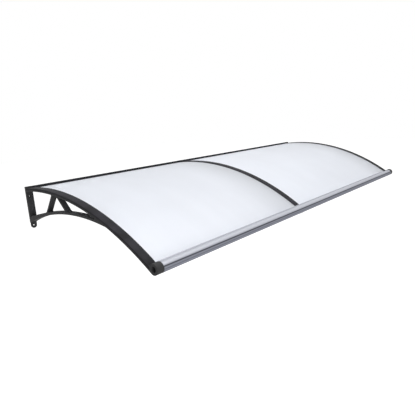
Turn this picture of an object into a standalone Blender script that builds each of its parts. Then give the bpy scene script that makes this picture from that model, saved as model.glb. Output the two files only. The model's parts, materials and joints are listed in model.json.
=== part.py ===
# A wall-mounted door canopy: two curved opal sheets clamped on three moulded brackets.
# Metres, +Z up. The wall is the plane y = 0 and the canopy reaches towards -Y.
# A run is a distance from the wall, a height is measured from the top of the cover strips
# where they would meet the wall, and an inward distance is measured from the middle of a
# bracket's width towards the middle of the canopy.

from math import acos, asin, atan2, ceil, cos, hypot, pi, radians, sin, sqrt, tan

import bmesh
import bpy
from mathutils import Matrix, Vector

# Overall sizes
LEFT_BAY = 1.075              # from the middle of the middle bracket to that of the left one
RIGHT_BAY = 1.391             # the same, to the right one
ARCH_RADIUS = 1.350           # to the top of the cover strips
ARCH_RISE_AT_WALL = radians(6.3)
COVER_RUN = 0.900             # wall to the front end of the middle cover strip
SEAT_GAP = 0.0003             # between pieces that bear on each other

# Clamped layers, from the top down
COVER_THICKNESS = 0.0030
GASKET_THICKNESS = 0.0008
SHEET_THICKNESS = 0.0030
ARCH_DEPTH = 0.0072

# Brackets
BRACKET_WIDTH = 0.034
RAIL_THICKNESS = 0.014
HEAD_DEPTH = 0.016
HEAD_HEIGHT = 0.0094
BOW_RADIUS_UNDER = 1.170
BOW_RADIUS_TOP = 1.450
BOW_CROWN_RUN = 0.440
BOW_CROWN_DEPTH = 0.010
WINDOW_HEIGHT = 0.040         # arch to bow, at the bow's crown
WINDOW_TIP_HEIGHT = 0.005
WINDOW_CORNER = 0.007
STRUT_WIDTH = 0.026
STRUT_THICKNESS = 0.010
REAR_STRUT_HEAD_RUN = 0.259
REAR_STRUT_FOOT_RUN = 0.189
FRONT_STRUT_HEAD_RUN = 0.300
FRONT_STRUT_FOOT_RUN = 0.366
STRUT_FLARE = 0.004
STRUT_FLARE_LENGTH = 0.010
STRUT_ROOT = 0.0035           # how far a strut runs into the member it joins
EDGE_BEVEL = 0.0007
END_WALL = 0.012              # outer wall of an end bracket's sheet seat
MIDDLE_WALL = 0.008           # wall between the two sheets on the middle bracket
EXPANSION_GAP = 0.0025        # sheet edge to the wall of its seat

# Wall lug
LUG_WIDTH = 0.030
LUG_THICKNESS = 0.006
LUG_LENGTH = 0.034            # below the foot of the wall rail
LUG_HOLE_ABOVE_END = 0.015
UPPER_HOLE_DROP = 0.040
WALL_HOLE_RADIUS = 0.0035
WALL_COUNTERSINK_RADIUS = 0.0065
WALL_COUNTERSINK_DEPTH = 0.003

# Front boss of an end bracket
BOSS_RADIUS = 0.023
BOSS_DISTANCE = 0.0375        # cover strip's front end to the tube's axis, along the arch
BOSS_SETBACK = 0.0025         # boss's centre behind the tube's axis
BOSS_RECESS_RADIUS = 0.0120
BOSS_RECESS_DEPTH = 0.020
TONGUE_LENGTH = 0.0118        # of a side strip, from its end to the boss
TONGUE_INSET = 0.0006
TONGUE_LIFT = 0.0012          # of its underside, to clear the rail's upper lip

# Front rail
TUBE_RADIUS = 0.021
TUBE_WALL = 0.0022
LIP_THICKNESS = 0.0016
UPPER_LIP_BACK = 0.0370       # behind the tube's axis
LOWER_LIP_BACK = 0.0350
SHEET_FRONT_BACK = 0.0235     # sheet's front edge, behind the tube's axis
PORT_RADIUS = 0.0056
PORT_BORE = 0.0033
PORT_WEB = 0.0020
STEP_DEPTH = 0.0006
STEP_TILT = radians(76)       # above the horizontal, as seen from the doorstep
STEP_HALF_ANGLE = radians(4)
GROOVE_DEPTH = 0.0014
GROOVE_TILT = radians(22)
GROOVE_HALF_ANGLE = radians(10)
LINE_DEPTH = 0.0008
LINE_TILT = radians(-8)
LINE_HALF_ANGLE = radians(4)

# Nose of the middle bracket, under the front rail
NOSE_REACH = 0.011
NOSE_BACK = 0.018
NOSE_DEPTH = 0.0275
NOSE_SEAT_BACK = 0.0360
NOSE_SLOPE = 0.012

# Rear rails and their seals
REAR_WALL = 0.0018
SHEET_BACK = 0.0045
SLOT_BACK = 0.0038
REAR_LIP = 0.0022
SEAL_THICKNESS = 0.0015
SEAL_HEIGHT = 0.010
SPIGOT_LENGTH = 0.010

# Cover strips and gaskets
COVER_WIDTH = 0.040
LOWER_GASKET_WIDTH = 0.007
UPPER_GASKET_WIDTH = 0.006
GASKET_INSET = 0.001

# Fasteners
FIRST_SCREW_RUN = 0.080
SECOND_SCREW_RUN = 0.205
THIRD_SCREW_RUN = 0.400
FOURTH_SCREW_RUN = 0.720
LAST_SCREW_BACK = 0.040       # behind the cover strip's front end, by its run
COVER_SCREW_RADIUS = 0.0020
COVER_SCREW_HEAD = 0.0040
COVER_SCREW_HEAD_HEIGHT = 0.0024
COVER_SCREW_LENGTH = 0.0108
COVER_SCREW_RECESS = 0.0032
BOLT_RADIUS = 0.0030
BOLT_LENGTH = 0.034
BOLT_HEAD_RADIUS = 0.0050
BOLT_HEAD_HEIGHT = 0.0060
WASHER_RADIUS = 0.0070
WASHER_THICKNESS = 0.0015
NOSE_SCREW_RADIUS = 0.0024
NOSE_SCREW_HEAD = 0.0045
NOSE_SCREW_HEAD_HEIGHT = 0.0026
NOSE_SCREW_LENGTH = 0.0115
NOSE_SCREW_RECESS = 0.0030
HOLE_CLEARANCE = 0.0004       # added to a screw's radius
HEAD_CLEARANCE = 0.0006       # added to a screw head's radius

# Facets
SWEEP_STEP = radians(1.75)
BOW_STEP = radians(2.0)
ROUND_STEP = radians(12)
CORNER_STEPS = 3
SCREW_SIDES = 12
BOLT_SIDES = 18
CUT_OVERRUN = 0.012           # how far a hole's cutter runs past the surface
WELD_DISTANCE = 0.000001      # points closer than this are one point
SHARP_ANGLE = radians(30)     # edges that turn further stay sharp in the shading

# Radii of the layers about the arch's centre
COVER_UNDER = ARCH_RADIUS - COVER_THICKNESS
UPPER_GASKET_TOP = COVER_UNDER - SEAT_GAP
UPPER_GASKET_UNDER = UPPER_GASKET_TOP - GASKET_THICKNESS
SHEET_TOP = UPPER_GASKET_UNDER - SEAT_GAP
SHEET_UNDER = SHEET_TOP - SHEET_THICKNESS
LOWER_GASKET_TOP = SHEET_UNDER - SEAT_GAP
LOWER_GASKET_UNDER = LOWER_GASKET_TOP - GASKET_THICKNESS
ARCH_TOP = LOWER_GASKET_UNDER - SEAT_GAP
ARCH_UNDER = ARCH_TOP - ARCH_DEPTH

# Places that follow from the sizes
ARCH_CENTRE = (ARCH_RADIUS * sin(ARCH_RISE_AT_WALL), -ARCH_RADIUS * cos(ARCH_RISE_AT_WALL))
HALF_BRACKET = BRACKET_WIDTH / 2
COVER_END_ANGLE = asin((COVER_RUN - ARCH_CENTRE[0]) / ARCH_RADIUS)
TUBE_ANGLE = COVER_END_ANGLE + BOSS_DISTANCE / ARCH_RADIUS
BOSS_RING = ARCH_UNDER + BOSS_RADIUS
BOSS_ANGLE = TUBE_ANGLE - BOSS_SETBACK / BOSS_RING
BRACKET_X = {"left": -LEFT_BAY, "middle": 0.0, "right": RIGHT_BAY}
ENDS = ("left", "right")
COVER_SCREW_RUNS = (FIRST_SCREW_RUN, SECOND_SCREW_RUN, THIRD_SCREW_RUN, FOURTH_SCREW_RUN,
                    COVER_RUN - LAST_SCREW_BACK)
END_SEAT_SIDE = END_WALL - HALF_BRACKET
MIDDLE_SEAT_SIDE = MIDDLE_WALL / 2

# The plane of an outline: X and Y of the outline lie along the first two columns
SIDE_PLANE = Matrix(((0, 0, -1, 0), (-1, 0, 0, 0), (0, 1, 0, 0), (0, 0, 0, 1)))
FRONT_PLANE = Matrix(((1, 0, 0, 0), (0, 0, -1, 0), (0, 1, 0, 0), (0, 0, 0, 1)))


def clear_scene():
    for thing in list(bpy.data.objects):
        bpy.data.objects.remove(thing, do_unlink=True)


def new_collection(name):
    collection = bpy.data.collections.new(name)
    bpy.context.scene.collection.children.link(collection)
    return collection


def new_material(name, colour, roughness, metallic=0.0):
    material = bpy.data.materials.new(name)
    material.use_nodes = True
    shader = material.node_tree.nodes["Principled BSDF"]
    shader.inputs["Base Color"].default_value = (*colour, 1.0)
    shader.inputs["Roughness"].default_value = roughness
    shader.inputs["Metallic"].default_value = metallic
    material.diffuse_color = (*colour, 1.0)
    return material


# Plane geometry. Points are (run, height) and angles are measured from the vertical,
# growing away from the wall.

def arc(centre, radius, start, end, step):
    count = max(1, ceil(abs(end - start) / step))
    angles = [start + (end - start) * i / count for i in range(count + 1)]
    return [(centre[0] + radius * sin(a), centre[1] + radius * cos(a)) for a in angles]


def arch_arc(radius, start, end):
    return arc(ARCH_CENTRE, radius, start, end, SWEEP_STEP)


def arch_point(radius, angle):
    return (ARCH_CENTRE[0] + radius * sin(angle), ARCH_CENTRE[1] + radius * cos(angle))


def arch_angle(run, radius):
    return asin((run - ARCH_CENTRE[0]) / radius)


def arch_height(run, radius):
    return arch_point(radius, arch_angle(run, radius))[1]


def from_tube(along, out):
    """A point given along the arch's tangent at the front tube's axis, and out from the arch."""
    centre = arch_point(BOSS_RING, TUBE_ANGLE)
    return (centre[0] + along * cos(TUBE_ANGLE) + out * sin(TUBE_ANGLE),
            centre[1] - along * sin(TUBE_ANGLE) + out * cos(TUBE_ANGLE))


def layer_out(radius, along):
    """How far out a layer of the arch lies from the tube's axis, at a place along it."""
    return sqrt(radius ** 2 - along ** 2) - BOSS_RING


def chained(*stretches):
    """Joins stretches of points, without the repeats where they meet."""
    points = []
    for point in (p for stretch in stretches for p in stretch):
        if not points or hypot(point[0] - points[-1][0], point[1] - points[-1][1]) > WELD_DISTANCE:
            points.append(point)
    if hypot(points[0][0] - points[-1][0], points[0][1] - points[-1][1]) < WELD_DISTANCE:
        points.pop()
    return points


def softened(points, radius, sharper_than=radians(25)):
    """Rounds the corners of a closed outline."""
    result = []
    for i, corner in enumerate(points):
        here = Vector(corner)
        before = Vector(points[i - 1]) - here
        after = Vector(points[(i + 1) % len(points)]) - here
        turn = pi - before.angle(after)
        if turn < sharper_than:
            result.append(corner)
            continue
        reach = min(radius * tan(turn / 2), 0.45 * before.length, 0.45 * after.length)
        first = here + before.normalized() * reach
        last = here + after.normalized() * reach
        for k in range(CORNER_STEPS + 1):
            t = k / CORNER_STEPS
            point = first * (1 - t) ** 2 + here * 2 * t * (1 - t) + last * t ** 2
            result.append((point.x, point.y))
    return result


def crossing(difference, low, high):
    """Where a function that is positive at low and negative at high passes zero."""
    for _ in range(60):
        middle = (low + high) / 2
        if difference(middle) > 0:
            low = middle
        else:
            high = middle
    return (low + high) / 2


# The lower bow of a bracket: two arcs that share their crown's run
BOW_TOP_HEIGHT = arch_height(BOW_CROWN_RUN, ARCH_UNDER) - WINDOW_HEIGHT
BOW_TOP_CENTRE = (BOW_CROWN_RUN, BOW_TOP_HEIGHT - BOW_RADIUS_TOP)
BOW_UNDER_CENTRE = (BOW_CROWN_RUN, BOW_TOP_HEIGHT - BOW_CROWN_DEPTH - BOW_RADIUS_UNDER)


def bow_height(run, centre, radius):
    return centre[1] + sqrt(radius ** 2 - (run - centre[0]) ** 2)


def bow_arc(centre, radius, start_run, end_run):
    start = asin((start_run - centre[0]) / radius)
    end = asin((end_run - centre[0]) / radius)
    return arc(centre, radius, start, end, BOW_STEP)


def bow_joint_run():
    """Where the bow's underside runs into the arch's underside."""
    return crossing(lambda run: arch_height(run, ARCH_UNDER)
                    - bow_height(run, BOW_UNDER_CENTRE, BOW_RADIUS_UNDER),
                    BOW_CROWN_RUN, COVER_RUN)


def window_tip_run():
    """Where the window between arch and bow has narrowed to its tip."""
    return crossing(lambda run: arch_height(run, ARCH_UNDER) - WINDOW_TIP_HEIGHT
                    - bow_height(run, BOW_TOP_CENTRE, BOW_RADIUS_TOP),
                    BOW_CROWN_RUN, COVER_RUN)


RAIL_FOOT = bow_height(RAIL_THICKNESS, BOW_UNDER_CENTRE, BOW_RADIUS_UNDER)
LUG_END = RAIL_FOOT - LUG_LENGTH


# Solids

def place(mesh, name, collection, material, matrix):
    solid = bpy.data.objects.new(name, mesh)
    solid.matrix_world = matrix
    if material:
        mesh.materials.clear()
        mesh.materials.append(material)
    collection.objects.link(solid)
    if collection is TOOLS:
        solid.hide_render = True
        solid.display_type = "WIRE"
    return solid


def outline_solid(name, loops, width, matrix, collection, material=None):
    """A flat outline, with its holes, thickened both ways across its plane."""
    curve = bpy.data.curves.new(name, "CURVE")
    curve.dimensions = "2D"
    curve.fill_mode = "BOTH"
    curve.extrude = width / 2
    for loop in loops:
        spline = curve.splines.new("POLY")
        spline.points.add(len(loop) - 1)
        for point, (x, y) in zip(spline.points, loop):
            point.co = (x, y, 0, 1)
        spline.use_cyclic_u = True
    drawn = bpy.data.objects.new(name + "_outline", curve)
    bpy.context.scene.collection.objects.link(drawn)
    graph = bpy.context.evaluated_depsgraph_get()
    mesh = bpy.data.meshes.new_from_object(drawn.evaluated_get(graph))
    bpy.data.objects.remove(drawn, do_unlink=True)
    bpy.data.curves.remove(curve)
    tidy_mesh(mesh, flat_caps=True)
    mesh.name = name
    return place(mesh, name, collection, material, matrix)


def tidy_mesh(mesh, flat_caps=False):
    work = bmesh.new()
    work.from_mesh(mesh)
    bmesh.ops.remove_doubles(work, verts=work.verts, dist=WELD_DISTANCE)
    if flat_caps:
        bmesh.ops.dissolve_limit(work, angle_limit=radians(0.05), verts=work.verts, edges=work.edges)
    bmesh.ops.recalc_face_normals(work, faces=work.faces)
    work.to_mesh(mesh)
    work.free()
    shade(mesh)


def shade(mesh):
    """Smooth shading on the round faces, with the corners left sharp."""
    mesh.shade_smooth()
    mesh.set_sharp_from_angle(angle=SHARP_ANGLE)


def swept_solid(name, section, start, end, collection, material=None):
    """A section of (x, radius) points carried round the arch's centre."""
    work = bmesh.new()
    corners = []
    for x, radius in section:
        run, height = arch_point(radius, start)
        corners.append(work.verts.new((x, -run, height)))
    face = work.faces.new(corners)
    bmesh.ops.spin(work, geom=[face, *face.edges, *face.verts], axis=(1, 0, 0),
                   cent=(0, -ARCH_CENTRE[0], ARCH_CENTRE[1]), angle=end - start,
                   steps=ceil((end - start) / SWEEP_STEP), use_duplicate=False)
    mesh = bpy.data.meshes.new(name)
    work.to_mesh(mesh)
    work.free()
    tidy_mesh(mesh)
    return place(mesh, name, collection, material, Matrix.Identity(4))


def turned_solid(name, profile, sides, matrix, collection, material=None, ring=False):
    """A profile of (radius, height) points, from the top down, turned about its Z axis."""
    mesh = bpy.data.meshes.new(name)
    last = len(profile)
    edges = [(i, i + 1) for i in range(last - 1)]
    if ring:
        edges.append((last - 1, 0))
    mesh.from_pydata([(radius, 0, height) for radius, height in profile], edges, [])
    solid = place(mesh, name, collection, material, matrix)
    screw = solid.modifiers.new("turn", "SCREW")
    screw.steps = sides
    screw.render_steps = sides
    screw.use_merge_vertices = True
    screw.merge_threshold = 0.00001
    graph = bpy.context.evaluated_depsgraph_get()
    solid.data = bpy.data.meshes.new_from_object(solid.evaluated_get(graph))
    solid.modifiers.clear()
    shade(solid.data)
    return solid


def box_solid(name, low, high, collection, material=None):
    work = bmesh.new()
    bmesh.ops.create_cube(work, size=1.0)
    size = [b - a for a, b in zip(low, high)]
    middle = [(a + b) / 2 for a, b in zip(low, high)]
    for vert in work.verts:
        vert.co = [co * s for co, s in zip(vert.co, size)]
    mesh = bpy.data.meshes.new(name)
    work.to_mesh(mesh)
    work.free()
    return place(mesh, name, collection, material, Matrix.Translation(middle))


def combine(solid, tool, operation):
    step = solid.modifiers.new(tool.name, "BOOLEAN")
    step.operation = operation
    step.solver = "EXACT"
    step.object = tool


def soften_edges(solid):
    bevel = solid.modifiers.new("soft_edges", "BEVEL")
    bevel.width = EDGE_BEVEL
    bevel.segments = 1
    bevel.limit_method = "ANGLE"
    bevel.angle_limit = radians(60)
    bevel.use_clamp_overlap = False


def inward_sign(side):
    """Which way along X leads inward from a bracket; for the middle one it is to the right."""
    return -1.0 if side == "right" else 1.0


def x_at(side, inward):
    """X of a place given inward from the middle of a bracket."""
    return BRACKET_X[side] + inward_sign(side) * inward


def section(side, inner, outer, low, high):
    """A rectangle of (x, radius) points across a bracket."""
    left, right = sorted((x_at(side, inner), x_at(side, outer)))
    return [(left, low), (right, low), (right, high), (left, high)]


def axis_matrix(x, point, direction):
    """Puts a turned solid's Z axis along a direction of (run, height)."""
    towards = Vector((0, -direction[0], direction[1]))
    turn = towards.to_track_quat("Z", "X").to_matrix().to_4x4()
    return Matrix.Translation((x, -point[0], point[1])) @ turn


def along_x(side, inward, point):
    """Puts a turned solid's Z axis across the canopy, pointing outward from a side."""
    turn = Vector((-inward_sign(side), 0, 0)).to_track_quat("Z", "Y").to_matrix().to_4x4()
    return Matrix.Translation((x_at(side, inward), -point[0], point[1])) @ turn


# Brackets

def nose_outline():
    """Front of the middle bracket: under the rail's lower lip and round the tube."""
    lip_under = slot_floor() - LIP_THICKNESS - SEAT_GAP
    seat_radius = TUBE_RADIUS + SEAT_GAP
    seat_start = -sqrt(seat_radius ** 2 - lip_under ** 2)
    start = atan2(seat_start, lip_under)
    end = atan2(NOSE_REACH, -sqrt(seat_radius ** 2 - NOSE_REACH ** 2))
    seat = arc((0, 0), seat_radius, start, end - 2 * pi, ROUND_STEP)
    chin = [(NOSE_REACH, -NOSE_DEPTH), (-NOSE_BACK, -NOSE_DEPTH)]
    top = [(-NOSE_SEAT_BACK, layer_out(ARCH_TOP, NOSE_SEAT_BACK)), (-NOSE_SEAT_BACK, lip_under)]
    chin = chin + [(-NOSE_BACK - NOSE_SLOPE, layer_out(ARCH_UNDER, NOSE_BACK + NOSE_SLOPE))]
    return [from_tube(*point) for point in top + seat + chin]


def boss_outline():
    """Front of an end bracket: round the boss, from the arch's top to its underside."""
    spread = acos((BOSS_RING ** 2 + ARCH_TOP ** 2 - BOSS_RADIUS ** 2) / (2 * BOSS_RING * ARCH_TOP))
    centre = arch_point(BOSS_RING, BOSS_ANGLE)
    first = arch_point(ARCH_TOP, BOSS_ANGLE - spread)
    start = atan2(first[0] - centre[0], first[1] - centre[1])
    return arc(centre, BOSS_RADIUS, start, BOSS_ANGLE + pi, ROUND_STEP)


def bracket_outline(side):
    front = boss_outline() if side in ENDS else nose_outline()
    first_angle = atan2(front[0][0] - ARCH_CENTRE[0], front[0][1] - ARCH_CENTRE[1])
    last_angle = atan2(front[-1][0] - ARCH_CENTRE[0], front[-1][1] - ARCH_CENTRE[1])
    joint = bow_joint_run()
    foot = RAIL_FOOT - (RAIL_THICKNESS - LUG_THICKNESS) / 2
    outer = chained(
        [(0, HEAD_HEIGHT), (HEAD_DEPTH, HEAD_HEIGHT)],
        arch_arc(ARCH_TOP, arch_angle(HEAD_DEPTH, ARCH_TOP), first_angle),
        front,
        arch_arc(ARCH_UNDER, last_angle, arch_angle(joint, ARCH_UNDER)),
        bow_arc(BOW_UNDER_CENTRE, BOW_RADIUS_UNDER, joint, RAIL_THICKNESS),
        [(LUG_THICKNESS, foot), (0, foot)])
    return outer


def window_outline():
    tip = window_tip_run()
    window = chained(
        arch_arc(ARCH_UNDER, arch_angle(RAIL_THICKNESS, ARCH_UNDER), arch_angle(tip, ARCH_UNDER)),
        bow_arc(BOW_TOP_CENTRE, BOW_RADIUS_TOP, tip, RAIL_THICKNESS))
    return softened(window, WINDOW_CORNER)


def strut_outline(head_run, foot_run):
    """A strut from the arch down to the bow, flared where it meets them."""
    head_angle = arch_angle(head_run, ARCH_UNDER)
    foot_angle = asin((foot_run - BOW_TOP_CENTRE[0]) / BOW_RADIUS_TOP)
    head = Vector((head_run, arch_height(head_run, ARCH_UNDER)))
    foot = Vector((foot_run, bow_height(foot_run, BOW_TOP_CENTRE, BOW_RADIUS_TOP)))
    down = (foot - head).normalized()
    across = Vector((-down.y, down.x))

    def end_points(origin, angle, inward, hand):
        skin = Vector((cos(angle), -sin(angle)))
        into = Vector((sin(angle), cos(angle))) * (-STRUT_ROOT if inward == -down else STRUT_ROOT)
        points = []
        for distance in (0, 0, STRUT_FLARE_LENGTH / 3, STRUT_FLARE_LENGTH * 2 / 3, STRUT_FLARE_LENGTH):
            flare = STRUT_FLARE * (1 - distance / STRUT_FLARE_LENGTH) ** 2
            offset = hand * (STRUT_THICKNESS / 2 + flare)
            points.append(origin + skin * (offset / skin.dot(across)) + inward * distance)
        points[0] = points[0] + into
        return points

    sides = []
    for hand in (1, -1):
        upper = end_points(head, head_angle, down, hand)
        lower = end_points(foot, foot_angle, -down, hand)
        sides.append(upper + lower[::-1])
    return [(p.x, p.y) for p in sides[0] + sides[1][::-1]]


def add_struts(bracket, side):
    runs = {"rear": (REAR_STRUT_HEAD_RUN, REAR_STRUT_FOOT_RUN),
            "front": (FRONT_STRUT_HEAD_RUN, FRONT_STRUT_FOOT_RUN)}
    matrix = Matrix.Translation((BRACKET_X[side], 0, 0)) @ SIDE_PLANE
    for name, (head_run, foot_run) in runs.items():
        strut = outline_solid(f"{side}_{name}_strut", [strut_outline(head_run, foot_run)],
                              STRUT_WIDTH, matrix, TOOLS)
        combine(bracket, strut, "UNION")


def add_lug(bracket, side):
    centre_height = LUG_END + LUG_WIDTH / 2
    root_height = RAIL_FOOT + LUG_WIDTH / 2
    half = LUG_WIDTH / 2
    end = arc((0, centre_height), half, pi / 2, 3 * pi / 2, ROUND_STEP)
    outline = chained([(-half, root_height), (half, root_height)], end)
    matrix = Matrix.Translation((BRACKET_X[side], -LUG_THICKNESS / 2, 0)) @ FRONT_PLANE
    lug = outline_solid(f"{side}_lug", [outline], LUG_THICKNESS, matrix, TOOLS)
    combine(bracket, lug, "UNION")


def spigot_box(side, hand):
    """A tongue on the head that plugs into the end of a rear rail."""
    low_run, high_run, low, high = rear_chamber()
    start = HALF_BRACKET - 2 * EDGE_BEVEL
    end = HALF_BRACKET + SPIGOT_LENGTH
    left, right = sorted((x_at(side, hand * start), x_at(side, hand * end)))
    return ((left, -high_run + SEAT_GAP, low + SEAT_GAP), (right, -low_run - SEAT_GAP, high - SEAT_GAP))


def cut_sheet_seats(bracket, side):
    start = arch_angle(SLOT_BACK, ARCH_RADIUS)
    end = arch_angle(HEAD_DEPTH + EDGE_BEVEL * 4, ARCH_RADIUS)
    seat_side = END_SEAT_SIDE if side in ENDS else MIDDLE_SEAT_SIDE
    for hand in ((1,) if side in ENDS else (1, -1)):
        shape = section(side, hand * seat_side, hand * (HALF_BRACKET + EDGE_BEVEL * 2),
                        SHEET_UNDER - SEAT_GAP, SHEET_TOP + SEAT_GAP)
        seat = swept_solid(f"{side}_sheet_seat_{'in' if hand > 0 else 'out'}", shape, start, end, TOOLS)
        combine(bracket, seat, "DIFFERENCE")
        spigot = box_solid(f"{side}_spigot_{'in' if hand > 0 else 'out'}", *spigot_box(side, hand), TOOLS)
        combine(bracket, spigot, "UNION")


def cut_hole(solid, name, profile, matrix, sides=SCREW_SIDES):
    cutter = turned_solid(name, profile, sides, matrix, TOOLS)
    combine(solid, cutter, "DIFFERENCE")


def cut_wall_holes(bracket, side):
    places = {"upper": (RAIL_THICKNESS, -UPPER_HOLE_DROP),
              "lug": (LUG_THICKNESS, LUG_END + LUG_HOLE_ABOVE_END)}
    profile = [(0, CUT_OVERRUN), (WALL_COUNTERSINK_RADIUS, CUT_OVERRUN), (WALL_COUNTERSINK_RADIUS, 0),
               (WALL_HOLE_RADIUS, -WALL_COUNTERSINK_DEPTH),
               (WALL_HOLE_RADIUS, -RAIL_THICKNESS - CUT_OVERRUN), (0, -RAIL_THICKNESS - CUT_OVERRUN)]
    for name, point in places.items():
        cut_hole(bracket, f"{side}_{name}_wall_hole", profile,
                 axis_matrix(BRACKET_X[side], point, (1, 0)), BOLT_SIDES)


def stepped_bore(hole_radius, recess_radius):
    return [(0, CUT_OVERRUN), (recess_radius, CUT_OVERRUN), (recess_radius, 0),
            (hole_radius, 0), (hole_radius, -CUT_OVERRUN), (0, -CUT_OVERRUN)]


def cover_screw_matrix(side, run):
    """Seat of a cover screw's head, its axis pointing down and away from the arch."""
    angle = arch_angle(run, ARCH_UNDER)
    point = arch_point(ARCH_UNDER + COVER_SCREW_RECESS, angle)
    return axis_matrix(cover_screw_x(side), point, (-sin(angle), -cos(angle)))


def cover_screw_x(side):
    return x_at(side, (END_SEAT_SIDE - HALF_BRACKET) / 2 if side in ENDS else 0)


def nose_screw_matrix():
    point = from_tube(0, -NOSE_DEPTH + NOSE_SCREW_RECESS)
    return axis_matrix(0, point, (-sin(TUBE_ANGLE), -cos(TUBE_ANGLE)))


def bolt_seat_matrix(side):
    return along_x(side, BOSS_RECESS_DEPTH - HALF_BRACKET, from_tube(0, 0))


def cut_boss_holes(bracket, side):
    """A round recess from the outer face, and the bolt's hole from its floor to the rail."""
    recess = [(0, BRACKET_WIDTH), (BOSS_RECESS_RADIUS, BRACKET_WIDTH), (BOSS_RECESS_RADIUS, 0), (0, 0)]
    seat = along_x(side, BOSS_RECESS_DEPTH - HALF_BRACKET, arch_point(BOSS_RING, BOSS_ANGLE))
    cut_hole(bracket, f"{side}_boss_recess", recess, seat, round(2 * pi / ROUND_STEP))
    radius = BOLT_RADIUS + HOLE_CLEARANCE
    hole = [(0, CUT_OVERRUN), (radius, CUT_OVERRUN), (radius, -BRACKET_WIDTH), (0, -BRACKET_WIDTH)]
    cut_hole(bracket, f"{side}_boss_hole", hole, bolt_seat_matrix(side), BOLT_SIDES)


def make_bracket(side):
    matrix = Matrix.Translation((BRACKET_X[side], 0, 0)) @ SIDE_PLANE
    bracket = outline_solid(f"bracket_{side}", [bracket_outline(side), window_outline()],
                            BRACKET_WIDTH, matrix, CANOPY, MOULDING)
    soften_edges(bracket)
    add_struts(bracket, side)
    add_lug(bracket, side)
    cut_sheet_seats(bracket, side)
    cut_wall_holes(bracket, side)
    bore = stepped_bore(COVER_SCREW_RADIUS + HOLE_CLEARANCE, COVER_SCREW_HEAD + HEAD_CLEARANCE)
    for number, run in enumerate(COVER_SCREW_RUNS, 1):
        cut_hole(bracket, f"{side}_cover_hole_{number}", bore, cover_screw_matrix(side, run))
    if side in ENDS:
        cut_boss_holes(bracket, side)
    else:
        nose_bore = stepped_bore(NOSE_SCREW_RADIUS + HOLE_CLEARANCE, NOSE_SCREW_HEAD + HEAD_CLEARANCE)
        cut_hole(bracket, "nose_hole", nose_bore, nose_screw_matrix())


# Sheets, gaskets and cover strips

def make_sheet(side):
    end = x_at(side, END_SEAT_SIDE + EXPANSION_GAP)
    middle = -inward_sign(side) * (MIDDLE_SEAT_SIDE + EXPANSION_GAP)
    left, right = sorted((end, middle))
    shape = [(left, SHEET_UNDER), (right, SHEET_UNDER), (right, SHEET_TOP), (left, SHEET_TOP)]
    front = TUBE_ANGLE - SHEET_FRONT_BACK / BOSS_RING
    swept_solid(f"sheet_{side}", shape, arch_angle(SHEET_BACK, SHEET_TOP), front, CANOPY, OPAL)


def gasket_places(side):
    """Inward edges of the gaskets, nearest the middle of the bracket first."""
    lower = HALF_BRACKET - GASKET_INSET - LOWER_GASKET_WIDTH
    reach = cover_reach(side) - GASKET_INSET
    upper = reach - UPPER_GASKET_WIDTH
    hands = (1,) if side in ENDS else (1, -1)
    return [(hand, hand * lower, hand * (lower + LOWER_GASKET_WIDTH), hand * upper, hand * reach)
            for hand in hands]


def cover_reach(side):
    """Inner edge of a cover strip, from the middle of its bracket."""
    return COVER_WIDTH - HALF_BRACKET if side in ENDS else COVER_WIDTH / 2


def make_gaskets(side):
    start = arch_angle(HEAD_DEPTH + GASKET_INSET, ARCH_RADIUS)
    for hand, lower_in, lower_out, upper_in, upper_out in gasket_places(side):
        suffix = side if side in ENDS else ("middle_right" if hand > 0 else "middle_left")
        shape = section(side, lower_in, lower_out, LOWER_GASKET_UNDER, LOWER_GASKET_TOP)
        swept_solid(f"lower_gasket_{suffix}", shape, start, COVER_END_ANGLE, CANOPY, RUBBER)
        shape = section(side, upper_in, upper_out, UPPER_GASKET_UNDER, UPPER_GASKET_TOP)
        swept_solid(f"upper_gasket_{suffix}", shape, start, COVER_END_ANGLE, CANOPY, RUBBER)


def strip_section(side, inset=0.0, lift=0.0):
    """A flat strip with a rib under it that stands on the arch between the sheets."""
    edge = -HALF_BRACKET if side in ENDS else -COVER_WIDTH / 2
    reach = cover_reach(side)
    rib_edge = edge if side in ENDS else -MIDDLE_SEAT_SIDE
    rib_reach = END_SEAT_SIDE if side in ENDS else MIDDLE_SEAT_SIDE
    foot = ARCH_TOP + SEAT_GAP + inset
    under = COVER_UNDER + lift
    top = ARCH_RADIUS - inset
    points = [(rib_edge + inset, foot), (rib_reach - inset, foot), (rib_reach - inset, under),
              (reach - inset, under), (reach - inset, top), (edge + inset, top)]
    if side not in ENDS:
        points += [(edge + inset, under), (rib_edge + inset, under)]
    return [(x_at(side, inward), radius) for inward, radius in points]


def make_cover_strip(side):
    start = arch_angle(HEAD_DEPTH + SEAT_GAP, ARCH_RADIUS)
    cover = swept_solid(f"cover_strip_{side}", strip_section(side), start, COVER_END_ANGLE, CANOPY, STRIP)
    soften_edges(cover)
    if side in ENDS:
        shape = strip_section(side, TONGUE_INSET, TONGUE_LIFT)
        tongue = swept_solid(f"{side}_tongue", shape, COVER_END_ANGLE - SWEEP_STEP / 2,
                             COVER_END_ANGLE + TONGUE_LENGTH / ARCH_RADIUS, TOOLS)
        combine(cover, tongue, "UNION")
    depth = COVER_SCREW_LENGTH + HOLE_CLEARANCE
    for number, run in enumerate(COVER_SCREW_RUNS, 1):
        radius = COVER_SCREW_RADIUS + HOLE_CLEARANCE
        profile = [(0, 0), (radius, 0), (radius, -depth), (0, -depth)]
        cut_hole(cover, f"{side}_cover_pilot_{number}", profile, cover_screw_matrix(side, run))


# Rear rails

def rear_chamber():
    """Hollow of a rear rail: its run and height, low and high."""
    low_run = SEAL_THICKNESS + SEAT_GAP + REAR_WALL
    high_run = HEAD_DEPTH - REAR_WALL
    low = arch_height(HEAD_DEPTH, SHEET_TOP + SEAT_GAP) + REAR_WALL
    return low_run, high_run, low, HEAD_HEIGHT - REAR_WALL


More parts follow.
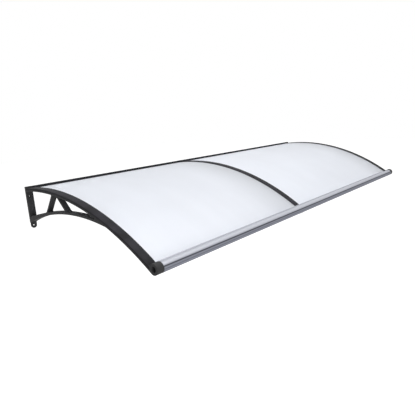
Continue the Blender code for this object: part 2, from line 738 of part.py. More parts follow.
def rear_rail_outlines():
    back = SEAL_THICKNESS + SEAT_GAP
    floor = SHEET_UNDER - SEAT_GAP
    roof = SHEET_TOP + SEAT_GAP
    under = floor - REAR_LIP
    outer = [(back, arch_height(back, under)), (HEAD_DEPTH, arch_height(HEAD_DEPTH, under)),
             (HEAD_DEPTH, arch_height(HEAD_DEPTH, floor)), (SLOT_BACK, arch_height(SLOT_BACK, floor)),
             (SLOT_BACK, arch_height(SLOT_BACK, roof)), (HEAD_DEPTH, arch_height(HEAD_DEPTH, roof)),
             (HEAD_DEPTH, HEAD_HEIGHT), (back, HEAD_HEIGHT)]
    low_run, high_run, low, high = rear_chamber()
    chamber = [(low_run, low), (high_run, low), (high_run, high), (low_run, high)]
    return [outer, chamber]


def make_rear_rail(side):
    ends = sorted((x_at(side, HALF_BRACKET + SEAT_GAP), -inward_sign(side) * (HALF_BRACKET + SEAT_GAP)))
    middle = (ends[0] + ends[1]) / 2
    matrix = Matrix.Translation((middle, 0, 0)) @ SIDE_PLANE
    outline_solid(f"rear_rail_{side}", rear_rail_outlines(), ends[1] - ends[0], matrix, CANOPY, STRIP)
    seal_low = -SEAL_HEIGHT / 2
    box_solid(f"wall_seal_{side}", (ends[0], -SEAL_THICKNESS, seal_low),
              (ends[1], 0, seal_low + SEAL_HEIGHT), CANOPY, FOAM)


# Front rail

def slot_floor():
    return layer_out(SHEET_UNDER, UPPER_LIP_BACK) - SEAT_GAP


def slot_roof():
    return layer_out(SHEET_TOP, SHEET_FRONT_BACK) + SEAT_GAP


def tube_skin():
    """The tube's outside from the upper lip over the top to the lower lip, with its lines."""
    upper = slot_roof() + LIP_THICKNESS
    lower = slot_floor() - LIP_THICKNESS
    start = atan2(-sqrt(TUBE_RADIUS ** 2 - upper ** 2), upper)
    end = atan2(-sqrt(TUBE_RADIUS ** 2 - lower ** 2), lower) + 2 * pi
    marks = ((STEP_TILT, STEP_DEPTH, STEP_HALF_ANGLE), (GROOVE_TILT, GROOVE_DEPTH, GROOVE_HALF_ANGLE),
             (LINE_TILT, LINE_DEPTH, LINE_HALF_ANGLE))
    points = []
    angle = start
    for tilt, depth, half in marks:
        centre = pi / 2 - tilt - TUBE_ANGLE
        points += arc((0, 0), TUBE_RADIUS, angle, centre - half, ROUND_STEP)
        floor = TUBE_RADIUS - depth
        for offset in (-half / 3, half / 3):
            points.append((floor * sin(centre + offset), floor * cos(centre + offset)))
        angle = centre + half
    return points + arc((0, 0), TUBE_RADIUS, angle, end, ROUND_STEP)


def front_rail_outlines():
    roof = slot_roof()
    floor = slot_floor()
    slot_end = -SHEET_FRONT_BACK + SEAT_GAP
    upper_back = -UPPER_LIP_BACK
    lower_back = -LOWER_LIP_BACK
    lips = [(lower_back, floor - LIP_THICKNESS), (lower_back, floor), (slot_end, floor),
            (slot_end, roof), (upper_back, roof), (upper_back, roof + LIP_THICKNESS)]
    outer = chained(tube_skin(), lips)
    inner = TUBE_RADIUS - TUBE_WALL
    outer_web = asin(PORT_WEB / 2 / inner)
    inner_web = asin(PORT_WEB / 2 / PORT_RADIUS)
    loops = [outer, arc((0, 0), PORT_BORE, 0, 2 * pi, 2 * ROUND_STEP)[:-1]]
    for quarter in (0, pi):
        hollow = arc((0, 0), inner, quarter - pi / 2 + outer_web, quarter + pi / 2 - outer_web, ROUND_STEP)
        hollow += arc((0, 0), PORT_RADIUS, quarter + pi / 2 - inner_web, quarter - pi / 2 + inner_web,
                      2 * ROUND_STEP)
        loops.append(hollow)
    return [[from_tube(*point) for point in loop] for loop in loops]


def make_front_rail():
    width = LEFT_BAY + RIGHT_BAY - BRACKET_WIDTH - 2 * SEAT_GAP
    matrix = Matrix.Translation(((RIGHT_BAY - LEFT_BAY) / 2, 0, 0)) @ SIDE_PLANE
    rail = outline_solid("front_rail", front_rail_outlines(), width, matrix, CANOPY, ALUMINIUM)
    radius = NOSE_SCREW_RADIUS + HOLE_CLEARANCE
    top = TUBE_WALL * 3
    profile = [(0, top), (radius, top), (radius, -CUT_OVERRUN), (0, -CUT_OVERRUN)]
    cut_hole(rail, "rail_nose_hole", profile, nose_screw_matrix())


# Fasteners

def pan_head_screw(name, shank, length, head, height, matrix):
    """Its seat is at Z 0, the head above it and the shank below."""
    crown = height * 0.35
    profile = [(0, SEAT_GAP + height), (head, SEAT_GAP + height - crown), (head, SEAT_GAP),
               (shank, SEAT_GAP), (shank, -length + shank), (0, -length)]
    return turned_solid(name, profile, SCREW_SIDES, matrix, CANOPY, STEEL)


def make_front_bolt(side):
    bore = BOLT_RADIUS + HOLE_CLEARANCE
    seat = SEAT_GAP
    top = seat + WASHER_THICKNESS
    ring = [(bore, top), (WASHER_RADIUS, top), (WASHER_RADIUS, seat), (bore, seat)]
    matrix = bolt_seat_matrix(side)
    turned_solid(f"front_washer_{side}", ring, BOLT_SIDES, matrix, CANOPY, STEEL, ring=True)
    seat = top + SEAT_GAP
    top = seat + BOLT_HEAD_HEIGHT
    chamfer = BOLT_HEAD_HEIGHT * 0.1
    profile = [(0, top), (BOLT_HEAD_RADIUS - chamfer, top), (BOLT_HEAD_RADIUS, top - chamfer),
               (BOLT_HEAD_RADIUS, seat), (BOLT_RADIUS, seat), (BOLT_RADIUS, seat - BOLT_LENGTH),
               (0, seat - BOLT_LENGTH)]
    turned_solid(f"front_bolt_{side}", profile, BOLT_SIDES, matrix, CANOPY, STEEL)


def make_fasteners():
    for side in BRACKET_X:
        for number, run in enumerate(COVER_SCREW_RUNS, 1):
            pan_head_screw(f"cover_screw_{side}_{number}", COVER_SCREW_RADIUS, COVER_SCREW_LENGTH,
                           COVER_SCREW_HEAD, COVER_SCREW_HEAD_HEIGHT, cover_screw_matrix(side, run))
    pan_head_screw("nose_screw", NOSE_SCREW_RADIUS, NOSE_SCREW_LENGTH, NOSE_SCREW_HEAD,
                   NOSE_SCREW_HEAD_HEIGHT, nose_screw_matrix())
    for side in ENDS:
        make_front_bolt(side)


clear_scene()
CANOPY = new_collection("door_canopy")
TOOLS = new_collection("cutters")
MOULDING = new_material("black_moulding", (0.035, 0.035, 0.037), 0.55)
STRIP = new_material("black_strip", (0.050, 0.050, 0.053), 0.45)
OPAL = new_material("opal_sheet", (0.86, 0.89, 0.95), 0.30)
RUBBER = new_material("black_rubber", (0.020, 0.020, 0.021), 0.85)
FOAM = new_material("grey_foam", (0.120, 0.120, 0.125), 0.95)
ALUMINIUM = new_material("silver_aluminium", (0.62, 0.63, 0.68), 0.35, 1.0)
STEEL = new_material("zinc_steel", (0.55, 0.56, 0.58), 0.35, 1.0)

for bracket_side in BRACKET_X:
    make_bracket(bracket_side)
    make_gaskets(bracket_side)
    make_cover_strip(bracket_side)
for end_side in ENDS:
    make_sheet(end_side)
    make_rear_rail(end_side)
make_front_rail()
make_fasteners()
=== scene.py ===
# Door canopy: two curved opal sheets on three black moulded brackets, with a satin front rail.
# The wall is the plane y = 0. A run is a distance from the wall, a height is z.
import json
from math import acos, asin, atan2, ceil, cos, dist, pi, radians, sin, sqrt, tan

import bmesh
import bpy
from mathutils import Matrix, Vector
from mathutils.geometry import tessellate_polygon

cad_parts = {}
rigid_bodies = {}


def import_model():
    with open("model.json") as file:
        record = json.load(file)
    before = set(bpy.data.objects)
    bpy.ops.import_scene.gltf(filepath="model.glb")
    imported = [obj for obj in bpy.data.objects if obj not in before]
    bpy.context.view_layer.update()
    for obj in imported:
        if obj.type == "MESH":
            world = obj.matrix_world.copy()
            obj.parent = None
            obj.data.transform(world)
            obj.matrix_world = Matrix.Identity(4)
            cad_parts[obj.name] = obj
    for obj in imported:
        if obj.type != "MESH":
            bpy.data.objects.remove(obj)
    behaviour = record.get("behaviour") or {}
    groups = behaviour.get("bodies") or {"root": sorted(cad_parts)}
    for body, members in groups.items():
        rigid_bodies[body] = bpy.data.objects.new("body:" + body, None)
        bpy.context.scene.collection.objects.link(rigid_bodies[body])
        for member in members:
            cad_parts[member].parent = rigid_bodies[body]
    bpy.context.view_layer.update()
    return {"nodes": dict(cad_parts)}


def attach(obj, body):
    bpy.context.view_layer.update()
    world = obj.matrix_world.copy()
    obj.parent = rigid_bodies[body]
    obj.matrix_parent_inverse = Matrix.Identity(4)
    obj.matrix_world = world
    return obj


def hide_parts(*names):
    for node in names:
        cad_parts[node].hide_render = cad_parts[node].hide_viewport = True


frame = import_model()
print("frame loaded:", len(frame["nodes"]), "nodes")

# Sizes that the pieces share, as in the CAD
canopy = {
    "leftBay": 1.075, "rightBay": 1.391,    # between the middles of two brackets
    "radius": 1.350,                        # top of the cover strips
    "riseAtWall": radians(6.3), "coverRun": 0.900, "gap": 0.0003,
    "cover": 0.0030, "gasket": 0.0008, "sheet": 0.0030, "archDepth": 0.0072,
    "bracketWidth": 0.034, "headDepth": 0.016, "headHeight": 0.0094, "bossRadius": 0.023,
    "tubeAhead": 0.0375,                    # front rail's axis, beyond the strips' front end
    "bossSetback": 0.0025,                  # boss's centre, behind that axis
    "endSeat": -0.005, "middleSeat": 0.004,   # inward edge of what stands between or beside the sheets
}
gap = canopy["gap"]
headDepth, headHeight = canopy["headDepth"], canopy["headHeight"]
halfBracket = canopy["bracketWidth"] / 2

# Radii of the layers on the arch, from the top down
stripTop = canopy["radius"]
stripUnder = stripTop - canopy["cover"]
upperGasketTop = stripUnder - gap
upperGasketUnder = upperGasketTop - canopy["gasket"]
sheetTop = upperGasketUnder - gap
sheetUnder = sheetTop - canopy["sheet"]
lowerGasketTop = sheetUnder - gap
lowerGasketUnder = lowerGasketTop - canopy["gasket"]
archTop = lowerGasketUnder - gap
archUnder = archTop - canopy["archDepth"]

archCentre = (stripTop * sin(canopy["riseAtWall"]), -stripTop * cos(canopy["riseAtWall"]))
coverEnd = asin((canopy["coverRun"] - archCentre[0]) / stripTop)
tubeAngle = coverEnd + canopy["tubeAhead"] / stripTop
bossRing = archUnder + canopy["bossRadius"]
bossAngle = tubeAngle - canopy["bossSetback"] / bossRing
bracketX = {"left": -canopy["leftBay"], "middle": 0.0, "right": canopy["rightBay"]}
inwardSign = {"left": 1, "middle": 1, "right": -1}
endSides = ("left", "right")
sidePlane = Matrix(((0, 0, -1, 0), (-1, 0, 0, 0), (0, 1, 0, 0), (0, 0, 0, 1)))
frontPlane = Matrix(((1, 0, 0, 0), (0, 0, -1, 0), (0, 1, 0, 0), (0, 0, 0, 1)))
tiny = 1e-6   # no size of the canopy is as small
white = (1.0, 1.0, 1.0, 1.0)


# Short ways to add objects and nodes

def place(name, data, matrix=None):
    thing = bpy.data.objects.new(name, data)
    if matrix is not None:
        thing.matrix_world = matrix
    bpy.context.scene.collection.objects.link(thing)
    return thing


# Turns Z along a direction and moves to a spot.
def aimed(spot, way, across):
    return Matrix.Translation(spot) @ Vector(way).to_track_quat("Z", across).to_matrix().to_4x4()


# Gives inputs of a node a value each, or a link from another node's output.
def feed(tree, node, inputs):
    for name, value in inputs.items():
        if isinstance(value, bpy.types.NodeSocket):
            tree.links.new(value, node.inputs[name])
        else:
            node.inputs[name].default_value = value


# Adds a node and returns its outputs.
def addNode(tree, kind, inputs, **settings):
    node = tree.nodes.new(kind)
    for name, value in settings.items():
        setattr(node, name, value)
    feed(tree, node, inputs)
    return node.outputs


# Camera, light and floor

viewSettings = {
    "place": (-1.9943, -2.0351, 0.2954), "down": radians(12.520), "roll": radians(3.781),
    "heading": radians(47.793),   # from the wall's normal towards +X
    "focalPixels": 412.7, "framePixels": 415, "sensor": 36.0, "clipStart": 0.05, "clipEnd": 200,
}


def setCamera(view):
    camera = bpy.data.cameras.new("camera")
    camera.sensor_width = view["sensor"]
    camera.lens = view["focalPixels"] * view["sensor"] / view["framePixels"]
    camera.clip_start = view["clipStart"]
    camera.clip_end = view["clipEnd"]
    down, heading, roll = view["down"], view["heading"], view["roll"]
    ahead = Vector((sin(heading) * cos(down), cos(heading) * cos(down), -sin(down)))
    right = ahead.cross(Vector((0, 0, 1))).normalized()
    up = right.cross(ahead) * cos(roll) + right * sin(roll)
    turn = Matrix((ahead.cross(up), up, -ahead)).transposed().to_4x4()
    bpy.context.scene.camera = place("camera", camera, Matrix.Translation(view["place"]) @ turn)


lightSettings = {
    "world": 0.42, "background": 1.0,
    # above and before the canopy, above its far end, and low before the near bracket
    "key": {"place": (-0.4, -1.6, 4.2), "aim": (0.0, -0.45, -0.1), "size": 4.0, "watts": 145},
    "fill": {"place": (2.0, -0.8, 3.4), "aim": (-0.4, -0.6, -0.1), "size": 3.0, "watts": 24},
    "front": {"place": (-2.0, -3.2, -0.3), "aim": (-0.9, -0.3, -0.1), "size": 1.6, "watts": 34},
    "floorHeight": -2.30, "floorSize": 60, "floorColour": 0.60, "floorRoughness": 0.9, "floorGlow": 0.80,
}


def areaLight(name, spec):
    lamp = bpy.data.lights.new(name, "AREA")
    lamp.shape = "DISK"
    lamp.size = spec["size"]
    lamp.energy = spec["watts"]
    place(name, lamp, aimed(spec["place"], Vector(spec["place"]) - Vector(spec["aim"]), "Y"))


# 1 where a camera, glossy or transmitted ray looks, 0 where light is gathered.
def seenByCamera(tree):
    rays = addNode(tree, "ShaderNodeLightPath", {})
    seen = rays["Is Camera Ray"]
    for kind in ("Is Glossy Ray", "Is Transmission Ray"):
        seen = addNode(tree, "ShaderNodeMath", {0: seen, 1: rays[kind]}, operation="MAXIMUM")[0]
    return seen


def setWorld(spec):
    world = bpy.data.worlds.new("softRoom")
    bpy.context.scene.world = world
    world.use_nodes = True
    tree = world.node_tree
    light = tree.nodes["Background"]
    feed(tree, light, {"Color": white, "Strength": spec["world"]})
    shown = addNode(tree, "ShaderNodeBackground", {"Color": white, "Strength": spec["background"]})
    both = addNode(tree, "ShaderNodeMixShader", {0: seenByCamera(tree), 1: light.outputs[0], 2: shown[0]})
    feed(tree, tree.nodes["World Output"], {"Surface": both[0]})


def setFloor(spec):
    half, height = spec["floorSize"] / 2, spec["floorHeight"]
    corners = ((-half, -half), (half, -half), (half, half), (-half, half))
    mesh = bpy.data.meshes.new("floor")
    mesh.from_pydata([(x, y, height) for x, y in corners], [], [(0, 1, 2, 3)])
    floor = place("floor", mesh)
    material = bpy.data.materials.new("palePaving")
    material.use_nodes = True
    tree = material.node_tree
    ground = tree.nodes["Principled BSDF"]
    colour = (*[spec["floorColour"]] * 3, 1.0)
    feed(tree, ground, {"Base Color": colour, "Roughness": spec["floorRoughness"]})
    strength = addNode(tree, "ShaderNodeMath", {0: seenByCamera(tree), 1: spec["floorGlow"]},
                       operation="MULTIPLY")
    glow = addNode(tree, "ShaderNodeEmission", {"Color": white, "Strength": strength[0]})
    both = addNode(tree, "ShaderNodeAddShader", {0: ground.outputs[0], 1: glow[0]})
    feed(tree, tree.nodes["Material Output"], {"Surface": both[0]})
    mesh.materials.append(material)


bpy.context.scene.view_settings.view_transform = "Standard"
setCamera(viewSettings)
setWorld(lightSettings)
setFloor(lightSettings)
for lampName in ("key", "fill", "front"):
    areaLight(lampName + "Light", lightSettings[lampName])
print("camera, lights and floor set")


# Points on the arch. Angles are from the vertical, growing away from the wall.

def arc(centre, radius, start, end, step):
    count = max(1, ceil(abs(end - start) / step - tiny))
    angles = [start + (end - start) * i / count for i in range(count + 1)]
    return [(centre[0] + radius * sin(a), centre[1] + radius * cos(a)) for a in angles]


def archPoint(radius, angle):
    return (archCentre[0] + radius * sin(angle), archCentre[1] + radius * cos(angle))


def archAngle(run, radius):
    return asin((run - archCentre[0]) / radius)


def archHeight(run, radius):
    return archPoint(radius, archAngle(run, radius))[1]


def archArc(radius, start, end, step=radians(0.4)):
    return arc(archCentre, radius, start, end, step)


# A point given along the arch and outwards from the front rail's axis.
def fromTube(along, out):
    run, height = archPoint(bossRing, tubeAngle)
    return (run + along * cos(tubeAngle) + out * sin(tubeAngle),
            height - along * sin(tubeAngle) + out * cos(tubeAngle))


# How far a layer of the arch is outwards from that axis.
def layerOut(radius, along):
    return sqrt(radius ** 2 - along ** 2) - bossRing


# Finishes

# Over the stretch "tones" of the clouds the colour goes from dark to light, and over the stretch
# "over" of the grain, lines or clouds the roughness goes from the first value of "rough" to the second.
finishes = {
    # Moulded plastic: fine spark grain, faint flow clouds and a parting line down each bracket
    "moulding": {
        "name": "blackMoulding", "shine": {"Specular IOR Level": 0.14},
        "dark": (0.030, 0.030, 0.031), "light": (0.050, 0.050, 0.052), "tones": (0.35, 0.65),
        "rough": (0.56, 0.70), "over": (0.6, 0.95), "bump": 0.00006, "clouds": (9, 4),
        "grain": (1700, 2, 0.6), "grainShare": 0.5, "parting": (0.00010, 0.00030), "partingRise": 1.2},
    # Coated strips and rails: finer grain, a little smoother than the moulding
    "strip": {
        "name": "blackCoating", "shine": {"Specular IOR Level": 0.05},
        "dark": (0.020, 0.020, 0.022), "light": (0.034, 0.033, 0.039), "tones": (0.35, 0.65),
        "rough": (0.50, 0.62), "over": (0.3, 0.7), "dull": "grain", "bump": 0.00003,
        "clouds": (14, 3), "grain": (2600, 2, 0.5)},
    # Opal polycarbonate: milky, a little light passes, with faint drawing lines down the sheet.
    # Painted shade greys it a little towards the bracket on its right: a slight fall over the whole bay,
    # and more near that bracket.
    "opal": {
        "name": "opalPolycarbonate",
        "shine": {"IOR": 1.58, "Specular IOR Level": 0.15, "Transmission Weight": 0.30},
        "dark": (0.850, 0.875, 0.930), "light": (0.900, 0.925, 0.980), "tones": (0.35, 0.65),
        "rough": (0.48, 0.56), "over": (0.3, 0.7), "bump": 0.00001, "ripple": (35, 2), "rippleRise": 0.3,
        "clouds": (2.2, 2), "drawn": (1.0, 2, 0.5, (14, 1, 1)), "shares": (0.35, 0.65),
        "edgeShade": 0.20, "edgeShadeReach": 0.36, "edgeShadePower": 2.0, "slope": 0.08},
    # Satin anodised aluminium with long drawing lines. A painted highlight makes it brighter above and on
    # the upper lip, and painted shade makes it darker in the grooves of the tube.
    "rail": {
        "name": "satinAluminium", "shine": {"Metallic": 0.85},
        "dark": (0.18, 0.19, 0.23), "light": (0.26, 0.27, 0.31),
        "rough": (0.60, 0.72), "over": (0.3, 0.7), "bump": 0.00002,
        "clouds": (6, 3), "drawn": (1.0, 5, 0.65, (1.2, 900, 900)), "shares": (0.6, 0.4),
        # painted shade in the grooves, and a painted highlight on the upper face and the upper lip
        "grooves": (0.0200, 0.0208), "grooveShade": 0.65,   # distances out from the axis
        "upper": (0.42, 0.43, 0.47), "upperHighlightOver": (0.0085, 0.0150),
        "lip": (0.60, 0.61, 0.65), "lipHighlightOver": (0.0212, 0.0240)},
    # Zinc plated screws and bolts, with a light spangle
    "zinc_steel": {
        "name": "zincPlate", "shine": {"Metallic": 1.0},
        "dark": (0.48, 0.49, 0.50), "light": (0.66, 0.66, 0.67), "tones": (0.35, 0.65),
        "rough": (0.25, 0.42), "over": (0.3, 0.7), "dull": "clouds", "bump": 0.00001,
        "clouds": (420, 3), "grain": (2200, 2)},
    # Rubber gaskets, dull, with a faint bloom
    "gasket": {
        "name": "blackRubber", "shine": {},
        "dark": (0.012, 0.012, 0.013), "light": (0.022, 0.022, 0.023), "tones": (0.4, 0.7),
        "rough": (0.72, 0.88), "over": (0.3, 0.7), "dull": "clouds", "bump": 0.00003,
        "clouds": (60, 4), "grain": (2500, 2)},
    # Closed-cell foam with open pores
    "foam": {
        "name": "sealFoam", "shine": {},
        "dark": (0.050, 0.050, 0.052), "light": (0.110, 0.110, 0.115), "pores": (0.0, 0.6),
        "rough": (0.90, 1.00), "over": (0.0, 0.8), "bump": 0.0002, "cells": 900, "poreRise": 0.8},
}


# A material with its shader, and short ways to add nodes to it
class Finish:
    def __init__(self, spec):
        self.material = bpy.data.materials.new(spec["name"])
        self.material.use_nodes = True
        self.tree, self.spec = self.material.node_tree, spec
        self.coords = self.add("ShaderNodeTexCoord", {})["Object"]
        self.give(spec["shine"])

    def add(self, kind, inputs, **settings):
        return addNode(self.tree, kind, inputs, **settings)

    def give(self, inputs):
        feed(self.tree, self.tree.nodes["Principled BSDF"], inputs)

    def axes(self):
        return self.add("ShaderNodeSeparateXYZ", {0: self.coords})

    def noise(self, scale, detail, roughness=0.55, stretch=None):
        coords = self.coords
        if stretch:
            coords = self.add("ShaderNodeMapping", {"Scale": stretch, "Vector": coords})[0]
        inputs = {"Scale": scale, "Detail": detail, "Roughness": roughness, "Vector": coords}
        return self.add("ShaderNodeTexNoise", inputs)["Fac"]

    def math(self, operation, *values):
        return self.add("ShaderNodeMath", dict(enumerate(values)), operation=operation)[0]

    def span(self, value, low, high, outLow=0.0, outHigh=1.0):
        return self.add("ShaderNodeMapRange", {"Value": value, "From Min": low, "From Max": high,
                                               "To Min": outLow, "To Max": outHigh})[0]

    # A Mix node takes its colours on inputs 6 and 7 and returns one on output 2.
    def mix(self, value, *colours):
        first, second = [(*one, 1.0) if isinstance(one, tuple) else one for one in colours]
        return self.add("ShaderNodeMix", {0: value, 6: first, 7: second}, data_type="RGBA")[2]

    # Clouds with drawing lines through them, and the lines alone
    def streaks(self):
        clouds, drawn = self.noise(*self.spec["clouds"]), self.noise(*self.spec["drawn"])
        lines, rest = self.spec["shares"]
        return self.math("MULTIPLY_ADD", drawn, lines, self.math("MULTIPLY", clouds, rest)), drawn

    def tone(self, value):
        return self.mix(self.span(value, *self.spec["tones"]), self.spec["dark"], self.spec["light"])

    def roughen(self, value):
        self.give({"Roughness": self.span(value, *self.spec["over"], *self.spec["rough"])})

    def bump(self, height, strength=1.0):
        inputs = {"Height": height, "Distance": self.spec["bump"], "Strength": strength}
        self.give({"Normal": self.add("ShaderNodeBump", inputs)[0]})


def makeMoulding(finish, spec):
    clouds, grain = finish.noise(*spec["clouds"]), finish.noise(*spec["grain"])
    finish.give({"Base Color": finish.tone(clouds)})
    finish.roughen(finish.math("ADD", clouds, finish.math("MULTIPLY", grain, spec["grainShare"])))
    x = finish.axes()["X"]
    away = None
    for middle in bracketX.values():
        one = finish.math("ABSOLUTE", finish.math("SUBTRACT", x, middle))
        away = finish.math("MINIMUM", away, one) if away else one
    line = finish.span(away, *spec["parting"], 1.0, 0.0)
    finish.bump(finish.math("MULTIPLY_ADD", line, spec["partingRise"], grain))


# Clouds of tone under a fine grain, either of which sets the roughness
def makePlain(finish, spec):
    noise = {"clouds": finish.noise(*spec["clouds"]), "grain": finish.noise(*spec["grain"])}
    finish.give({"Base Color": finish.tone(noise["clouds"])})
    finish.roughen(noise[spec["dull"]])
    finish.bump(noise["grain"])


def makeOpal(finish, spec):
    streaks, drawn = finish.streaks()
    # Painted shade: the colour darkens towards the bracket on the sheet's right, gently over the bay and
    # more within reach of the bracket.
    x = finish.axes()["X"]
    bracket = finish.math("MULTIPLY", finish.math("GREATER_THAN", x, 0.0), canopy["rightBay"])
    away = finish.math("SUBTRACT", bracket, x)
    near = finish.span(away, halfBracket, spec["edgeShadeReach"], 1.0, 0.0)
    slope = finish.math("MULTIPLY", finish.span(away, 0.0, canopy["rightBay"], 1.0, 0.0), spec["slope"])
    shade = finish.math("POWER", near, spec["edgeShadePower"])
    shade = finish.math("MULTIPLY_ADD", shade, spec["edgeShade"], slope)
    finish.give({"Base Color": finish.mix(shade, finish.tone(streaks), (0.0, 0.0, 0.0))})
    finish.roughen(drawn)
    finish.bump(finish.noise(*spec["ripple"]), spec["rippleRise"])


def makeRail(finish, spec):
    streaks, drawn = finish.streaks()
    axes = finish.axes()
    run, height = archPoint(bossRing, tubeAngle)
    ahead = finish.math("POWER", finish.math("ADD", axes["Y"], run), 2.0)
    rise = finish.math("SUBTRACT", axes["Z"], height)
    out = finish.math("SQRT", finish.math("ADD", ahead, finish.math("POWER", rise, 2.0)))
    # Painted shade darkens the grooves; a painted highlight lightens the upper face of the tube, and the
    # upper lip more.
    groove = finish.span(out, *spec["grooves"], spec["grooveShade"], 0.0)
    paintedHighlight = finish.mix(finish.span(out, *spec["lipHighlightOver"]), spec["upper"], spec["lip"])
    tone = finish.mix(finish.span(rise, *spec["upperHighlightOver"]),
                      finish.mix(streaks, spec["dark"], spec["light"]), paintedHighlight)
    finish.give({"Base Color": finish.mix(groove, tone, (0.0, 0.0, 0.0))})
    finish.roughen(drawn)
    finish.bump(drawn)


def makeFoam(finish, spec):
    inputs = {"Scale": spec["cells"], "Vector": finish.coords}
    cells = finish.add("ShaderNodeTexVoronoi", inputs)["Distance"]
    tone = finish.mix(finish.span(cells, *spec["pores"], 1.0, 0.0), spec["dark"], spec["light"])
    finish.give({"Base Color": tone})
    finish.roughen(cells)
    finish.bump(cells, spec["poreRise"])


makers = {"moulding": makeMoulding, "opal": makeOpal, "rail": makeRail, "foam": makeFoam}
materials = {}
for finishSlot, finishSpec in finishes.items():
    newFinish = Finish(finishSpec)
    makers.get(finishSlot, makePlain)(newFinish, finishSpec)
    materials[finishSlot] = newFinish.material
print("finishes made")


# Outlines

# Stretches of points end to end, with no point twice.
def joined(*stretches):
    points = []
    for point in (p for stretch in stretches for p in stretch):
        if not points or dist(point, points[-1]) > 2 * tiny:
            points.append(point)
    if dist(points[0], points[-1]) < 2 * tiny:
        points.pop()
    return points


# Points that round a corner of an outline and take up at most a share of each side.
# A corner that turns less than the straight angle stays as it is.
def fillet(before, corner, after, radius, steps, straight=radians(25), share=0.45):
    here = Vector(corner)
    before, after = Vector(before) - here, Vector(after) - here
    turn = pi - before.angle(after)
    if turn < straight:
        return [corner]
    reach = min(radius * tan(turn / 2), share * before.length, share * after.length)
    first, last = here + before.normalized() * reach, here + after.normalized() * reach
    places = [k / steps for k in range(steps + 1)]
    return [tuple(first * (1 - t) ** 2 + here * 2 * t * (1 - t) + last * t ** 2) for t in places]


# Rounds the corners of a closed outline.
def rounded(points, radius, steps):
    corners = zip(points[-1:] + points[:-1], points, points[1:] + points[:1])
    return [point for corner in corners for point in fillet(*corner, radius, steps)]


# The corners of a rectangle, anticlockwise.
def oblong(first, second, low, high):
    left, right = sorted((first, second))
    return [(left, low), (right, low), (right, high), (left, high)]


# Where a falling difference passes nil.
def crossing(difference, low, high, halvings=60):
    for _ in range(halvings):
        middle = (low + high) / 2
        if difference(middle) > 0:
            low = middle
        else:
            high = middle
    return (low + high) / 2


def xAt(side, inward):
    return bracketX[side] + inwardSign[side] * inward


# The ways from a bracket's middle to a sheet: inward, and both ways on the middle one.
def sheetWays(side):
    return (1,) if side in endSides else (1, -1)


# Ways to make and finish a mesh

def link(name, mesh, matrix=None):
    if matrix is not None:
        mesh.transform(matrix)
        if matrix.determinant() < 0:
            mesh.flip_normals()
    return place(name, mesh)


def linkWork(name, work, matrix=None):
    bmesh.ops.recalc_face_normals(work, faces=work.faces)
    mesh = bpy.data.meshes.new(name)
    work.to_mesh(mesh)
    work.free()
    return link(name, mesh, matrix)


# Puts the result of a piece's modifiers in place of its mesh.
def apply(piece):
    graph = bpy.context.evaluated_depsgraph_get()
    mesh = bpy.data.meshes.new_from_object(piece.evaluated_get(graph))
    piece.modifiers.clear()
    old = piece.data
    piece.data = mesh
    mesh.name = piece.name
    if old.users == 0:
        bpy.data.meshes.remove(old)
    return mesh


def signedArea(loop):
    return sum(a[0] * b[1] - b[0] * a[1] for a, b in zip(loop, loop[1:] + loop[:1])) / 2


# A closed outline moved to its left, into the material. A mitre is at most twice the distance.
def movedIn(loop, distance, longest=2.0):
    result = []
    for i, point in enumerate(loop):
        here = Vector(point)
        first = (here - Vector(loop[i - 1])).normalized()
        second = (Vector(loop[(i + 1) % len(loop)]) - here).normalized()
        mitre = first.orthogonal() + second.orthogonal()
        result.append(here + mitre * (distance * min(2 / mitre.length_squared, longest)))
    return result


# An outline with holes, made thick both ways across its plane, with rounded edges.
def slab(name, loops, width, matrix, edge=0.0003, steps=3):
    ways = [(signedArea(loop) > 0) == (i == 0) for i, loop in enumerate(loops)]
    loops = [loop if way else loop[::-1] for loop, way in zip(loops, ways)]
    bends = [pi / 2 * k / steps for k in range(steps + 1)]
    upper = [(edge * (1 - cos(a)), width / 2 - edge * (1 - sin(a))) for a in bends]
    levels = [(inset, -height) for inset, height in reversed(upper)] + upper
    work = bmesh.new()
    low, high, flat = [], [], []
    for loop in loops:
        rings = []
        for inset, height in levels:
            rings.append([work.verts.new((*point, height)) for point in movedIn(loop, inset)])
        for below, above in zip(rings, rings[1:]):
            for k in range(len(loop)):
                work.faces.new((below[k - 1], below[k], above[k], above[k - 1]))
        low += rings[0]
        high += rings[-1]
        flat.append([vert.co.copy() for vert in rings[-1]])
    for corners in tessellate_polygon(flat):
        work.faces.new([high[k] for k in corners])
        work.faces.new([low[k] for k in reversed(corners)])
    return linkWork(name, work, matrix)


def discard(*things):
    for thing in things:
        data = thing.data
        bpy.data.objects.remove(thing, do_unlink=True)
        store = bpy.data.curves if isinstance(data, bpy.types.Curve) else bpy.data.meshes
        store.remove(data)


# A profile of (radius, height) turned about Z, smooth and closed.
def turned(name, profile, sides, matrix, ring=False):
    work = bmesh.new()
    angles = [2 * pi * k / sides for k in range(sides)]
    loops = []
    for radius, height in profile:
        around = angles if radius else angles[:1]
        loops.append([work.verts.new((radius * cos(a), radius * sin(a), height)) for a in around])
    for upper, lower in zip(loops, loops[1:] + (loops[:1] if ring else [])):
        for k in range(sides):
            corners = [upper[k % len(upper)], upper[(k + 1) % len(upper)],
                       lower[(k + 1) % len(lower)], lower[k % len(lower)]]
            unique = list(dict.fromkeys(corners))
            if len(unique) > 2:
                work.faces.new(unique)
    return linkWork(name, work, matrix)


def box(name, low, high):
    work = bmesh.new()
    bmesh.ops.create_cube(work, size=1.0)
    for vert in work.verts:
        vert.co = [a + (b - a) * (c + 0.5) for a, b, c in zip(low, high, vert.co)]
    return linkWork(name, work)


def combine(piece, tool, operation="DIFFERENCE"):
    step = piece.modifiers.new(tool.name, "BOOLEAN")
    step.operation = operation
    step.solver = "EXACT"
    step.object = tool


